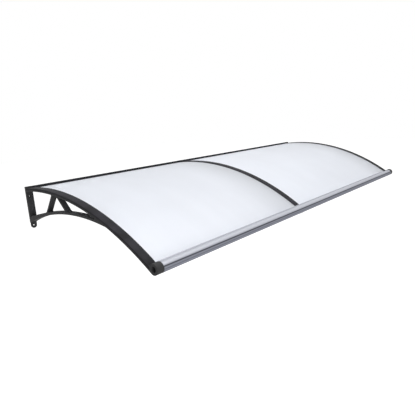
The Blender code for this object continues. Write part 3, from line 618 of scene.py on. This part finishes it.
# Cuts all the holes of a piece in one step, so that no cut disturbs the rim of another.
def cutHoles(piece, *tools):
    holes = bpy.data.collections.new("holes")
    for tool in tools:
        holes.objects.link(tool)
    step = piece.modifiers.new("holes", "BOOLEAN")
    step.solver = "EXACT"
    step.operand_type = "COLLECTION"
    step.collection = holes


# Applies the modifiers, shades the piece and drops the tools that were used on it.
def bake(piece, slot, sharp=radians(32)):
    cuts = [step for step in piece.modifiers if step.type == "BOOLEAN"]
    groups = [step.collection for step in cuts if step.collection]
    tools = [step.object for step in cuts if step.object]
    tools += [tool for group in groups for tool in group.objects]
    mesh = apply(piece)
    discard(*tools)
    for group in groups:
        bpy.data.collections.remove(group)
    if not mesh.materials:
        mesh.materials.append(materials[slot])
    mesh.shade_smooth()
    mesh.set_sharp_from_angle(angle=sharp)
    weigh = piece.modifiers.new("evenShading", "WEIGHTED_NORMAL")
    weigh.keep_sharp = True
    weigh.weight = 80
    apply(piece)
    return piece


# The finished piece rides on the root body in place of CAD nodes, which are hidden.
def fit(piece, slot, *nodes):
    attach(piece, "root")
    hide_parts(*nodes)


# Node trees

def newTree(name, inputs):
    tree = bpy.data.node_groups.new(name, "GeometryNodeTree")
    tree.interface.new_socket("Geometry", in_out="OUTPUT", socket_type="NodeSocketGeometry")
    keys = {}
    for label, kind in inputs.items():
        socket = tree.interface.new_socket(label, in_out="INPUT", socket_type="NodeSocket" + kind)
        keys[label] = socket.identifier
    return tree, keys, tree.nodes.new("NodeGroupInput").outputs


def endTree(tree, geometry, material):
    real = addNode(tree, "GeometryNodeRealizeInstances", {0: geometry})
    finish = addNode(tree, "GeometryNodeSetMaterial", {"Geometry": real[0], "Material": material})
    addNode(tree, "NodeGroupOutput", {0: finish[0]})


# Runs a tree on a piece and keeps the result as its mesh.
def runTree(piece, parts, **inputs):
    tree, keys = parts
    step = piece.modifiers.new(tree.name, "NODES")
    step.node_group = tree
    for label, value in inputs.items():
        step[keys[label]] = value
    apply(piece)


# Carries a section along an arc of the arch, closed at both ends.
def archSweepTree(weldDistance=0.000005):
    tree, keys, given = newTree("archSweep", {
        "section": "Object", "steps": "Int", "start": "Float", "sweep": "Float", "radius": "Float",
        "centre": "Vector", "finish": "Material"})
    path = addNode(tree, "GeometryNodeCurveArc", {
        "Resolution": given["steps"], "Radius": given["radius"],
        "Start Angle": given["start"], "Sweep Angle": given["sweep"]})
    upright = addNode(tree, "GeometryNodeTransform", {
        "Geometry": path["Curve"], "Translation": given["centre"],
        "Rotation": Matrix(((0, 0, 1), (0, -1, 0), (1, 0, 0))).to_euler()})
    section = addNode(tree, "GeometryNodeObjectInfo", {0: given["section"]})
    sweep = addNode(tree, "GeometryNodeCurveToMesh", {
        "Curve": upright[0], "Profile Curve": section["Geometry"], "Fill Caps": True})
    weld = addNode(tree, "GeometryNodeMergeByDistance", {0: sweep[0], "Distance": weldDistance})
    endTree(tree, addNode(tree, "GeometryNodeSetShadeSmooth", {0: weld[0]})[0], given["finish"])
    return tree, keys


# A section of (x, radius) points carried from one angle of the arch to another.
def archSweep(name, slot, section, start, end, stepAngle=radians(0.35)):
    curve = bpy.data.curves.new(name + "Section", "CURVE")
    curve.dimensions = "2D"
    curve.fill_mode = "NONE"
    spline = curve.splines.new("POLY")
    spline.points.add(len(section) - 1)
    spline.use_cyclic_u = True
    for point, (x, radius) in zip(spline.points, section):
        point.co = (-x, stripTop - radius, 0, 1)
    drawn = place(name + "Section", curve)
    host = link(name, bpy.data.meshes.new(name))
    runTree(host, archSweepParts, section=drawn, steps=max(2, ceil((end - start) / stepAngle) + 1),
            start=start, sweep=end - start, radius=stripTop, centre=(0.0, -archCentre[0], archCentre[1]),
            finish=materials[slot])
    work = bmesh.new()
    work.from_mesh(host.data)
    bmesh.ops.remove_doubles(work, verts=work.verts, dist=tiny)
    bmesh.ops.recalc_face_normals(work, faces=work.faces)
    work.to_mesh(host.data)
    work.free()
    discard(drawn)
    return host


# Sets a copy of one fastener at every point of a mesh, along that point's axis.
def studRowTree():
    tree, keys, given = newTree("studRow", {
        "seats": "Geometry", "fastener": "Object", "finish": "Material"})
    axis = addNode(tree, "GeometryNodeInputNamedAttribute", {"Name": "axis"}, data_type="FLOAT_VECTOR")
    turn = addNode(tree, "FunctionNodeAlignRotationToVector", {"Vector": axis["Attribute"]}, axis="Z")
    fastener = addNode(tree, "GeometryNodeObjectInfo", {0: given["fastener"]})
    copies = addNode(tree, "GeometryNodeInstanceOnPoints", {
        "Points": given["seats"], "Instance": fastener["Geometry"], "Rotation": turn[0]})
    endTree(tree, copies[0], given["finish"])
    return tree, keys


# Copies of a fastener, each at a place and along its Z.
def studRow(name, fastener, places):
    mesh = bpy.data.meshes.new(name)
    mesh.from_pydata([tuple(one.translation) for one in places], [], [])
    axes = mesh.attributes.new("axis", "FLOAT_VECTOR", "POINT")
    for axis, one in zip(axes.data, places):
        axis.vector = (one.to_3x3() @ Vector((0, 0, 1))).normalized()
    host = link(name, mesh)
    runTree(host, studRowParts, fastener=fastener, finish=materials["zinc_steel"])
    discard(fastener)
    return host


archSweepParts = archSweepTree()
studRowParts = studRowTree()


# Sheets

sheetSizes = {"back": 0.0045, "frontBack": 0.0235, "edgeGap": 0.0025, "edge": 0.0005}


def makeSheet(side, spec):
    end = xAt(side, canopy["endSeat"] + spec["edgeGap"])
    middle = -inwardSign[side] * (canopy["middleSeat"] + spec["edgeGap"])
    section = rounded(oblong(end, middle, sheetUnder, sheetTop), spec["edge"], 2)
    piece = archSweep(f"opalSheet_{side}", "opal", section, archAngle(spec["back"], sheetTop),
                      tubeAngle - spec["frontBack"] / bossRing)
    fit(bake(piece, "opal"), "opal", f"sheet_{side}")


for sheetSide in endSides:
    makeSheet(sheetSide, sheetSizes)
print("sheets made")


# Cover strips and gaskets

stripSizes = {
    "width": 0.040, "corner": 0.0011, "endBevel": 0.0006, "endAngle": radians(60),
    "grooveInset": 0.0055, "grooveWidth": 0.0010, "grooveDepth": 0.0004,
    "tongue": 0.0118, "tongueInset": 0.0006, "tongueLift": 0.0012,
    "tongueBack": 0.012,   # angle that the tongue shares with the strip
}
gasketSizes = {"lower": 0.007, "upper": 0.006, "inset": 0.001, "edge": 0.00035}


def coverReach(side):
    return stripSizes["width"] - halfBracket if side in endSides else stripSizes["width"] / 2


# A strip with a rib under it, and two shallow lines along its top.
def stripSection(side, inset=0.0, lift=0.0, grooves=True):
    edge = -halfBracket if side in endSides else -stripSizes["width"] / 2
    reach = coverReach(side)
    ribEdge = edge if side in endSides else -canopy["middleSeat"]
    ribReach = canopy["endSeat"] if side in endSides else canopy["middleSeat"]
    foot = archTop + gap + inset
    under = stripUnder + lift
    top = stripTop - inset
    points = [(ribEdge + inset, foot), (ribReach - inset, foot), (ribReach - inset, under),
              (reach - inset, under), (reach - inset, top), (edge + inset, top)]
    if side not in endSides:
        points += [(edge + inset, under), (ribEdge + inset, under)]
    points = rounded(points, stripSizes["corner"], 4)
    if grooves:
        half, deep = stripSizes["grooveWidth"] / 2, top - stripSizes["grooveDepth"]
        lines = []
        for middle in (reach - stripSizes["grooveInset"], edge + stripSizes["grooveInset"]):
            lines += [(middle + half, top), (middle + half / 2, deep),
                      (middle - half / 2, deep), (middle - half, top)]
        # The lines lie between the outermost two corners of the top, drawn from right to left.
        level = [i for i, point in enumerate(points) if abs(point[1] - top) < tiny]
        first = max(level, key=lambda i: points[i][0] - points[(i + 1) % len(points)][0])
        points[first + 1:first + 1] = lines
    return [(xAt(side, a), b) for a, b in points]


def makeCoverStrip(side, spec):
    start = archAngle(headDepth + gap, stripTop)
    piece = archSweep(f"coverStrip_{side}", "strip", stripSection(side), start, coverEnd)
    bevel = piece.modifiers.new("softEnds", "BEVEL")
    bevel.width = spec["endBevel"]
    bevel.segments = 2
    bevel.limit_method = "ANGLE"
    bevel.angle_limit = spec["endAngle"]
    bevel.use_clamp_overlap = False
    if side in endSides:
        shape = stripSection(side, spec["tongueInset"], spec["tongueLift"], False)
        tongue = archSweep(f"tongue_{side}", "strip", shape, coverEnd - spec["tongueBack"],
                           coverEnd + spec["tongue"] / stripTop)
        combine(piece, tongue, "UNION")
    fit(bake(piece, "strip"), "strip", f"cover_strip_{side}")


def makeGaskets(side, spec):
    start = archAngle(headDepth + spec["inset"], stripTop)
    edges = {"lower": halfBracket, "upper": coverReach(side)}
    layers = {"lower": (lowerGasketUnder, lowerGasketTop), "upper": (upperGasketUnder, upperGasketTop)}
    for way in sheetWays(side):
        suffix = side if side in endSides else ("middle_right" if way > 0 else "middle_left")
        for layer, (low, high) in layers.items():
            inner = edges[layer] - spec["inset"] - spec[layer]
            corners = oblong(xAt(side, way * inner), xAt(side, way * (inner + spec[layer])), low, high)
            section = rounded(corners, spec["edge"], 2)
            piece = archSweep(f"{layer}Gasket_{suffix}", "gasket", section, start, coverEnd)
            fit(bake(piece, "gasket"), "gasket", f"{layer}_gasket_{suffix}")


for stripSide in bracketX:
    makeCoverStrip(stripSide, stripSizes)
    makeGaskets(stripSide, gasketSizes)
print("cover strips and gaskets made")


# Brackets

bracketSizes = {
    "rail": 0.014, "edge": 0.0013,
    "bowUnder": 1.170, "bowTop": 1.450, "crownRun": 0.440, "crownDepth": 0.010,
    "windowHeight": 0.040, "windowTip": 0.005, "windowCorner": 0.008,
    "struts": (("rear", 0.259, 0.189), ("front", 0.300, 0.366)),   # runs of each head and foot
    "strut": 0.010, "strutWidth": 0.026, "strutEdge": 0.0009, "root": 0.0035,
    "flare": 0.004, "flareLength": 0.010, "flarePower": 2.2, "flareSteps": 8,
    "lug": 0.006, "lugWidth": 0.030, "lugLength": 0.034, "lugEdge": 0.0008, "lugHole": 0.015,
    "upperHole": 0.040, "wallHole": 0.0035, "countersink": 0.0065, "countersinkDepth": 0.003,
    "recess": 0.012, "recessDepth": 0.020,
    "seatAhead": 0.003, "seatPast": 0.0014, "spigot": 0.010, "spigotRoot": 0.0026,
}
# How far a cone runs on past its face, a cutter stands out of a piece, and goes in
cutSizes = {"past": 0.001, "out": 0.012, "wallDeep": 0.026, "bossDeep": 0.034, "railOut": 0.0066,
            "mouth": 0.0004, "recessMouth": 0.0012}
screwSizes = {"runs": (0.080, 0.205, 0.400, 0.720, 0.860), "shank": 0.0020, "length": 0.0108,
              "head": 0.0040, "headHeight": 0.0024, "slot": 0.0023, "recess": 0.0032,
              "clearance": 0.0004, "headClearance": 0.0006}
noseSizes = {"reach": 0.011, "back": 0.018, "depth": 0.0275, "seatBack": 0.036, "slope": 0.012,
             "frontCorner": 0.0025, "backCorner": 0.0060, "shank": 0.0024, "length": 0.0115,
             "head": 0.0045, "headHeight": 0.0026, "slot": 0.0026, "recess": 0.0030}
boltSizes = {"shank": 0.0030, "length": 0.034, "head": 0.0050, "headHeight": 0.0060, "chamfer": 0.0007,
             "rim": 0.0002, "edge": 0.0003, "pitch": 0.0010, "thread": 0.0004, "tip": 0.0006,
             "tipLength": 0.003, "washer": 0.0070, "washerThick": 0.0015, "socket": 0.0029,
             "socketDepth": 0.0034, "socketCone": 0.0008}
rearSizes = {"wall": 0.0018, "lip": 0.0022, "slotBack": 0.0038, "seal": 0.0015, "corner": 0.0014,
             "chamberCorner": 0.0008}
railSizes = {
    "tube": 0.021, "wall": 0.0022, "lip": 0.0016, "upperBack": 0.0370, "lowerBack": 0.0350,
    "sheetBack": 0.0235, "lipsFrom": 0.0203, "lipCorner": 0.0006, "port": 0.0056, "bore": 0.0033,
    "web": 0.0020, "hollowCorner": 0.0008, "markSteps": 10, "markSlope": 3, "markPower": 0.8,
    # tilt, depth and half width of each groove along the tube's face
    "marks": ((radians(76), 0.00006, radians(4)), (radians(22), 0.0014, radians(10)),
              (radians(-8), 0.0008, radians(4))),
}

# Both edges of the bow are arcs about points under its crown.
crown = bracketSizes["crownRun"]
crownTop = archHeight(crown, archUnder) - bracketSizes["windowHeight"]
bowRadius = {"top": bracketSizes["bowTop"], "under": bracketSizes["bowUnder"]}
bowCentre = {"top": (crown, crownTop - bowRadius["top"]),
             "under": (crown, crownTop - bracketSizes["crownDepth"] - bowRadius["under"])}


def bowHeight(edge, run):
    return bowCentre[edge][1] + sqrt(bowRadius[edge] ** 2 - (run - crown) ** 2)


def bowAngle(edge, run):
    return asin((run - crown) / bowRadius[edge])


def bowArc(edge, start, end):
    angles = bowAngle(edge, start), bowAngle(edge, end)
    return arc(bowCentre[edge], bowRadius[edge], *angles, radians(0.5))


bowJoint = crossing(lambda run: archHeight(run, archUnder) - bowHeight("under", run),
                    crown, canopy["coverRun"])
windowTip = crossing(lambda run: archHeight(run, archUnder) - bracketSizes["windowTip"]
                     - bowHeight("top", run), crown, canopy["coverRun"])
railFoot = bowHeight("under", bracketSizes["rail"])
lugEnd = railFoot - bracketSizes["lugLength"]
slotFloor = layerOut(sheetUnder, railSizes["upperBack"]) - gap
slotRoof = layerOut(sheetTop, railSizes["sheetBack"]) + gap


# Front of the middle bracket: under the rail's lip, then round the tube.
def noseOutline(spec):
    lipUnder = slotFloor - railSizes["lip"] - gap
    seat = railSizes["tube"] + gap
    start = atan2(-sqrt(seat ** 2 - lipUnder ** 2), lipUnder)
    end = atan2(spec["reach"], -sqrt(seat ** 2 - spec["reach"] ** 2))
    cradle = arc((0, 0), seat, start, end - 2 * pi, radians(4))
    slopeEnd = spec["back"] + spec["slope"]
    chin = [(spec["reach"], -spec["depth"]), (-spec["back"], -spec["depth"]),
            (-slopeEnd, layerOut(archUnder, slopeEnd))]
    top = [(-spec["seatBack"], layerOut(archTop, spec["seatBack"])), (-spec["seatBack"], lipUnder)]
    corner = fillet(cradle[-1], chin[0], chin[1], spec["frontCorner"], 4, 0)
    points = top + cradle + corner + fillet(*chin, spec["backCorner"], 5, 0) + chin[-1:]
    return [fromTube(*point) for point in points]


# Front of an end bracket: round the boss.
def bossOutline():
    boss = canopy["bossRadius"]
    spread = acos((bossRing ** 2 + archTop ** 2 - boss ** 2) / (2 * bossRing * archTop))
    centre = archPoint(bossRing, bossAngle)
    first = archPoint(archTop, bossAngle - spread)
    start = atan2(first[0] - centre[0], first[1] - centre[1])
    return arc(centre, boss, start, bossAngle + pi, radians(4))


def bracketOutline(side):
    front = bossOutline() if side in endSides else noseOutline(noseSizes)
    angles = [atan2(point[0] - archCentre[0], point[1] - archCentre[1]) for point in (front[0], front[-1])]
    rail, lug = bracketSizes["rail"], bracketSizes["lug"]
    foot = railFoot - (rail - lug) / 2
    return joined(
        [(0, headHeight), (headDepth, headHeight)],
        archArc(archTop, archAngle(headDepth, archTop), angles[0]),
        front,
        archArc(archUnder, angles[1], archAngle(bowJoint, archUnder)),
        bowArc("under", bowJoint, rail),
        [(lug, foot), (0, foot)])


def windowOutline():
    rail = bracketSizes["rail"]
    window = joined(archArc(archUnder, archAngle(rail, archUnder), archAngle(windowTip, archUnder)),
                    bowArc("top", windowTip, rail))
    return rounded(window, bracketSizes["windowCorner"], 7)


# A strut from the arch to the bow, flared where it meets them.
def strutOutline(headRun, footRun):
    spec = bracketSizes
    head = Vector((headRun, archHeight(headRun, archUnder)))
    foot = Vector((footRun, bowHeight("top", footRun)))
    down = (foot - head).normalized()
    across = Vector((-down.y, down.x))

    def endPoints(origin, angle, along, hand, into):
        skin = Vector((cos(angle), -sin(angle)))
        points = []
        for share in [k / spec["flareSteps"] for k in range(spec["flareSteps"] + 1)]:
            offset = hand * (spec["strut"] / 2 + spec["flare"] * (1 - share) ** spec["flarePower"])
            step = along * (spec["flareLength"] * share)
            points.append(origin + skin * (offset / skin.dot(across)) + step)
        return [points[0] + Vector((sin(angle), cos(angle))) * into] + points

    sides = []
    for hand in (1, -1):
        upper = endPoints(head, archAngle(headRun, archUnder), down, hand, spec["root"])
        lower = endPoints(foot, bowAngle("top", footRun), -down, hand, -spec["root"])
        sides.append(upper + lower[::-1])
    return [(p.x, p.y) for p in sides[0] + sides[1][::-1]]


def sideMatrix(x):
    return Matrix.Translation((x, 0, 0)) @ sidePlane


# Turns Z along a direction of (run, height) and moves to a point.
def axisMatrix(x, point, direction):
    return aimed((x, -point[0], point[1]), (0, -direction[0], direction[1]), "X")


# Turns Z across the canopy, outward from one side, at the bottom of a boss's recess.
def recessMatrix(side, point):
    x = xAt(side, bracketSizes["recessDepth"] - halfBracket)
    return aimed((x, -point[0], point[1]), (-inwardSign[side], 0, 0), "Y")


def boltMatrix(side):
    return recessMatrix(side, fromTube(0, 0))


def screwMatrix(side, run):
    angle = archAngle(run, archUnder)
    x = xAt(side, (canopy["endSeat"] - halfBracket) / 2 if side in endSides else 0)
    return axisMatrix(x, archPoint(archUnder + screwSizes["recess"], angle), (-sin(angle), -cos(angle)))


def noseScrewMatrix():
    point = fromTube(0, -noseSizes["depth"] + noseSizes["recess"])
    return axisMatrix(0, point, (-sin(tubeAngle), -cos(tubeAngle)))


# A screw's bore with a recess for its head, and a small lead-in round the bore's mouth.
def steppedBore(spec):
    hole, recess = spec["shank"] + screwSizes["clearance"], spec["head"] + screwSizes["headClearance"]
    mouth, out = cutSizes["mouth"], cutSizes["out"]
    return [(0, out), (recess, out), (recess, 0), (hole + mouth, 0), (hole, -mouth),
            (hole, -out), (0, -out)]


# A bolt's or screw's hole right through, from above its seat to below.
def straightBore(spec, out, deep):
    radius = spec["shank"] + screwSizes["clearance"]
    return [(0, out), (radius, out), (radius, -deep), (0, -deep)]


# The cutters for a bracket's holes: two to the wall, the cover screws', and the boss's or the nose's.
def bracketHoles(side, spec):
    past, out, deep = cutSizes["past"], cutSizes["out"], cutSizes["bossDeep"]
    hole, sink, depth = spec["wallHole"], spec["countersink"], spec["countersinkDepth"]
    mouth = sink + past * (sink - hole) / depth
    profile = [(0, out), (mouth, out), (mouth, past), (hole, -depth),
               (hole, -cutSizes["wallDeep"]), (0, -cutSizes["wallDeep"])]
    points = ((spec["rail"], -spec["upperHole"]), (spec["lug"], lugEnd + spec["lugHole"]))
    holes = [turned("wallHole", profile, 32, axisMatrix(bracketX[side], point, (1, 0))) for point in points]
    bore = steppedBore(screwSizes)
    holes += [turned("screwHole", bore, 24, screwMatrix(side, run)) for run in screwSizes["runs"]]
    if side not in endSides:
        return holes + [turned("noseHole", steppedBore(noseSizes), 24, noseScrewMatrix())]
    recess, mouth = spec["recess"], cutSizes["recessMouth"]
    wide, high = recess + mouth + past, spec["recessDepth"]
    profile = [(0, deep), (wide, deep), (wide, high + past), (recess, high - mouth), (recess, 0), (0, 0)]
    holes.append(turned("bossRecess", profile, 64, recessMatrix(side, archPoint(bossRing, bossAngle))))
    holes.append(turned("bossHole", straightBore(boltSizes, out, deep), 32, boltMatrix(side)))
    return holes


# Runs and heights of the rear rails' chamber, which takes the brackets' spigots.
def rearChamber():
    lowRun = rearSizes["seal"] + gap + rearSizes["wall"]
    low = archHeight(headDepth, sheetTop + gap) + rearSizes["wall"]
    return lowRun, headDepth - rearSizes["wall"], low, headHeight - rearSizes["wall"]


# Cuts the slots in the head for the sheets' rear edges, and adds the spigots over them.
def fitRear(piece, side, spec):
    start = archAngle(rearSizes["slotBack"], stripTop)
    end = archAngle(headDepth + spec["seatAhead"], stripTop)
    inner = canopy["endSeat"] if side in endSides else canopy["middleSeat"]
    lowRun, highRun, low, high = rearChamber()
    for way in sheetWays(side):
        slot = oblong(xAt(side, way * inner), xAt(side, way * (halfBracket + spec["seatPast"])),
                      sheetUnder - gap, sheetTop + gap)
        combine(piece, archSweep("sheetSeat", "moulding", slot, start, end))
        left, right = sorted((xAt(side, way * (halfBracket - spec["spigotRoot"])),
                              xAt(side, way * (halfBracket + spec["spigot"]))))
        spigot = box("spigot", (left, gap - highRun, low + gap), (right, -lowRun - gap, high - gap))
        combine(piece, spigot, "UNION")


def makeBracket(side, spec):
    matrix = sideMatrix(bracketX[side])
    piece = slab(f"bracketMoulding_{side}", [bracketOutline(side), windowOutline()], canopy["bracketWidth"],
                 matrix, spec["edge"], 4)
    for label, headRun, footRun in spec["struts"]:
        outline = strutOutline(headRun, footRun)
        strut = slab(f"{label}Strut", [outline], spec["strutWidth"], matrix, spec["strutEdge"])
        combine(piece, strut, "UNION")
    half = spec["lugWidth"] / 2
    outline = joined([(-half, railFoot + half), (half, railFoot + half)],
                     arc((0, lugEnd + half), half, pi / 2, 3 * pi / 2, radians(5)))
    lugMatrix = Matrix.Translation((bracketX[side], -spec["lug"] / 2, 0)) @ frontPlane
    combine(piece, slab("lug", [outline], spec["lug"], lugMatrix, spec["lugEdge"]), "UNION")
    fitRear(piece, side, spec)
    cutHoles(piece, *bracketHoles(side, spec))
    fit(bake(piece, "moulding"), "moulding", f"bracket_{side}")


for bracketSide in bracketX:
    makeBracket(bracketSide, bracketSizes)
print("brackets made")


# Rear rails

# Black rail along the wall, with a closed chamber over the sheet's slot.
def makeRearRail(side, spec):
    back, slot = spec["seal"] + gap, spec["slotBack"]
    floor, roof = sheetUnder - gap, sheetTop + gap
    under = floor - spec["lip"]
    corners = ((back, under), (headDepth, under), (headDepth, floor), (slot, floor), (slot, roof),
               (headDepth, roof))
    outer = [(run, archHeight(run, radius)) for run, radius in corners]
    outer += [(headDepth, headHeight), (back, headHeight)]
    chamber = rounded(oblong(*rearChamber()), spec["chamberCorner"], 3)
    left, right = sorted((xAt(side, halfBracket + gap), -inwardSign[side] * (halfBracket + gap)))
    piece = slab(f"rearRail_{side}", [rounded(outer, spec["corner"], 5), chamber], right - left,
                 sideMatrix((left + right) / 2))
    fit(bake(piece, "strip"), "strip", f"rear_rail_{side}")


for railSide in endSides:
    makeRearRail(railSide, rearSizes)
    seal = frame["nodes"][f"wall_seal_{railSide}"]
    for slot in seal.material_slots:
        slot.material = materials["foam"]
print("rear rails made")


# Front rail

# Points of a groove in a round face, from edge to edge.
def markPoints(spec, centre, depth, half):
    points = []
    for t in [k / spec["markSteps"] for k in range(1, spec["markSteps"])]:
        share = min(1.0, spec["markSlope"] * min(t, 1 - t)) ** spec["markPower"]
        floor = spec["tube"] - depth * share
        angle = centre + half * (2 * t - 1)
        points.append((floor * sin(angle), floor * cos(angle)))
    return points


# Tube with a screw port, two lips that hold the sheets, and the lines along its face.
def frontRailLoops(spec):
    tube, upperBack, lowerBack = spec["tube"], -spec["upperBack"], -spec["lowerBack"]
    upper, lower = slotRoof + spec["lip"], slotFloor - spec["lip"]
    skin, angle = [], atan2(-sqrt(tube ** 2 - upper ** 2), upper)
    for tilt, depth, half in spec["marks"]:
        centre = pi / 2 - tilt - tubeAngle
        skin += arc((0, 0), tube, angle, centre - half, radians(3))
        skin += markPoints(spec, centre, depth, half)
        angle = centre + half
    skin += arc((0, 0), tube, angle, atan2(-sqrt(tube ** 2 - lower ** 2), lower) + 2 * pi, radians(3))
    slotEnd = -spec["sheetBack"] + gap
    lips = rounded([skin[-2], skin[-1], (lowerBack, lower), (lowerBack, slotFloor), (slotEnd, slotFloor),
                    (slotEnd, slotRoof), (upperBack, slotRoof), (upperBack, upper), skin[0], skin[1]],
                   spec["lipCorner"], 4)
    inner = tube - spec["wall"]
    outerWeb, innerWeb = asin(spec["web"] / 2 / inner), asin(spec["web"] / 2 / spec["port"])
    loops = [joined(skin, [point for point in lips if point[0] < -spec["lipsFrom"]]),
             arc((0, 0), spec["bore"], 0, 2 * pi, radians(15))[:-1]]
    for quarter in (0, pi):
        low, high = quarter - pi / 2, quarter + pi / 2
        hollow = arc((0, 0), inner, low + outerWeb, high - outerWeb, radians(6))
        hollow += arc((0, 0), spec["port"], high - innerWeb, low + innerWeb, radians(12))
        loops.append(rounded(hollow, spec["hollowCorner"], 3))
    return [[fromTube(*point) for point in loop] for loop in loops]


def makeFrontRail(spec):
    width = bracketX["right"] - bracketX["left"] - canopy["bracketWidth"] - 2 * gap
    matrix = sideMatrix((bracketX["left"] + bracketX["right"]) / 2)
    piece = slab("frontRail", frontRailLoops(spec), width, matrix)
    bore = straightBore(noseSizes, cutSizes["railOut"], cutSizes["out"])
    cutHoles(piece, turned("railHole", bore, 24, noseScrewMatrix()))
    fit(bake(piece, "rail", radians(40)), "rail", "front_rail")


makeFrontRail(railSizes)
print("front rail made")


# Screws, washers and bolts

threadSizes = {"start": 0.0006, "pitch": 0.0011, "depth": 0.00045, "foot": 0.0001, "edge": 0.0002,
               "slotHalf": 0.00042, "slotPast": 0.001,
               # shares of the head's height, and of the shank's radius
               "rim": 0.45, "dome": 0.55, "tipFrom": 1.5, "tip": 1.2}


# Pan head screw with a cross recess and a light thread, its seat at Z 0.
def crossHead(name, spec):
    shank, length, head, height = spec["shank"], spec["length"], spec["head"], spec["headHeight"]
    edge, pitch, root = threadSizes["edge"], threadSizes["pitch"], shank - threadSizes["depth"]
    rim, dome = threadSizes["rim"], threadSizes["dome"]
    bends = [radians(d) for d in range(0, 91, 18)]
    profile = [(head * sin(a), gap + height * (rim + dome * cos(a))) for a in bends]
    profile += [(head, gap + edge), (head - edge, gap), (shank + edge, gap)]
    z = -threadSizes["start"]
    while z > -length + shank * threadSizes["tipFrom"]:
        profile += [(root, z), (shank, z - pitch / 2), (root, z - pitch + threadSizes["foot"])]
        z -= pitch
    profile += [(root, -length + shank * threadSizes["tip"]), (0, -length)]
    screw = turned(name, profile, 24, Matrix.Identity(4))
    slot, half, above = spec["slot"], threadSizes["slotHalf"], gap + height + threadSizes["slotPast"]
    for turn in (0, pi / 2):
        bar = box("bar", (-slot, -half, gap + height * rim), (slot, half, above))
        bar.data.transform(Matrix.Rotation(turn, 4, "Z"))
        combine(screw, bar)
    return bake(screw, "zinc_steel")


def makeScrews(name, spec, places, *nodes):
    screws = studRow(name, crossHead(name + "Shape", spec), places)
    fit(screws, "zinc_steel", *nodes)


makeScrews("coverScrews", screwSizes,
           [screwMatrix(side, run) for side in bracketX for run in screwSizes["runs"]],
           *[f"cover_screw_{side}_{i}" for side in bracketX for i in range(1, 6)])
makeScrews("noseScrew", noseSizes, [noseScrewMatrix()], "nose_screw")


# Socket bolt and washer at the bottom of the boss.
def makeFrontBolt(side, spec):
    matrix = boltMatrix(side)
    edge, bore, outer = spec["edge"], spec["shank"] + screwSizes["clearance"], spec["washer"]
    top = gap + spec["washerThick"]
    ring = [(bore, top), (outer - edge, top), (outer, top - edge), (outer, gap + edge), (outer - edge, gap),
            (bore, gap)]
    washer = turned(f"boltWasher_{side}", ring, 48, matrix, True)
    fit(bake(washer, "zinc_steel"), "zinc_steel", f"front_washer_{side}")
    seat = top + gap
    end, height = seat - spec["length"], seat + spec["headHeight"]
    shank, head, chamfer, rim = spec["shank"], spec["head"], spec["chamfer"], spec["rim"]
    profile = [(0, height), (head - chamfer, height), (head - rim, height - rim), (head, height - chamfer),
               (head, seat + edge), (head - edge, seat), (shank, seat)]
    z = seat - spec["pitch"]
    while z > end + spec["tipLength"]:
        profile += [(shank - spec["thread"], z), (shank, z - spec["pitch"] / 2)]
        z -= spec["pitch"]
    profile += [(shank - spec["tip"], end), (0, end)]
    bolt = turned(f"frontBolt_{side}", profile, 48, matrix)
    socket, above, floor = spec["socket"], height + cutSizes["past"], height - spec["socketDepth"]
    profile = [(0, above), (socket, above), (socket, floor), (0, floor - spec["socketCone"])]
    combine(bolt, turned("hexagon", profile, 6, matrix))
    fit(bake(bolt, "zinc_steel"), "zinc_steel", f"front_bolt_{side}")


for boltSide in endSides:
    makeFrontBolt(boltSide, boltSizes)
print("fasteners made")
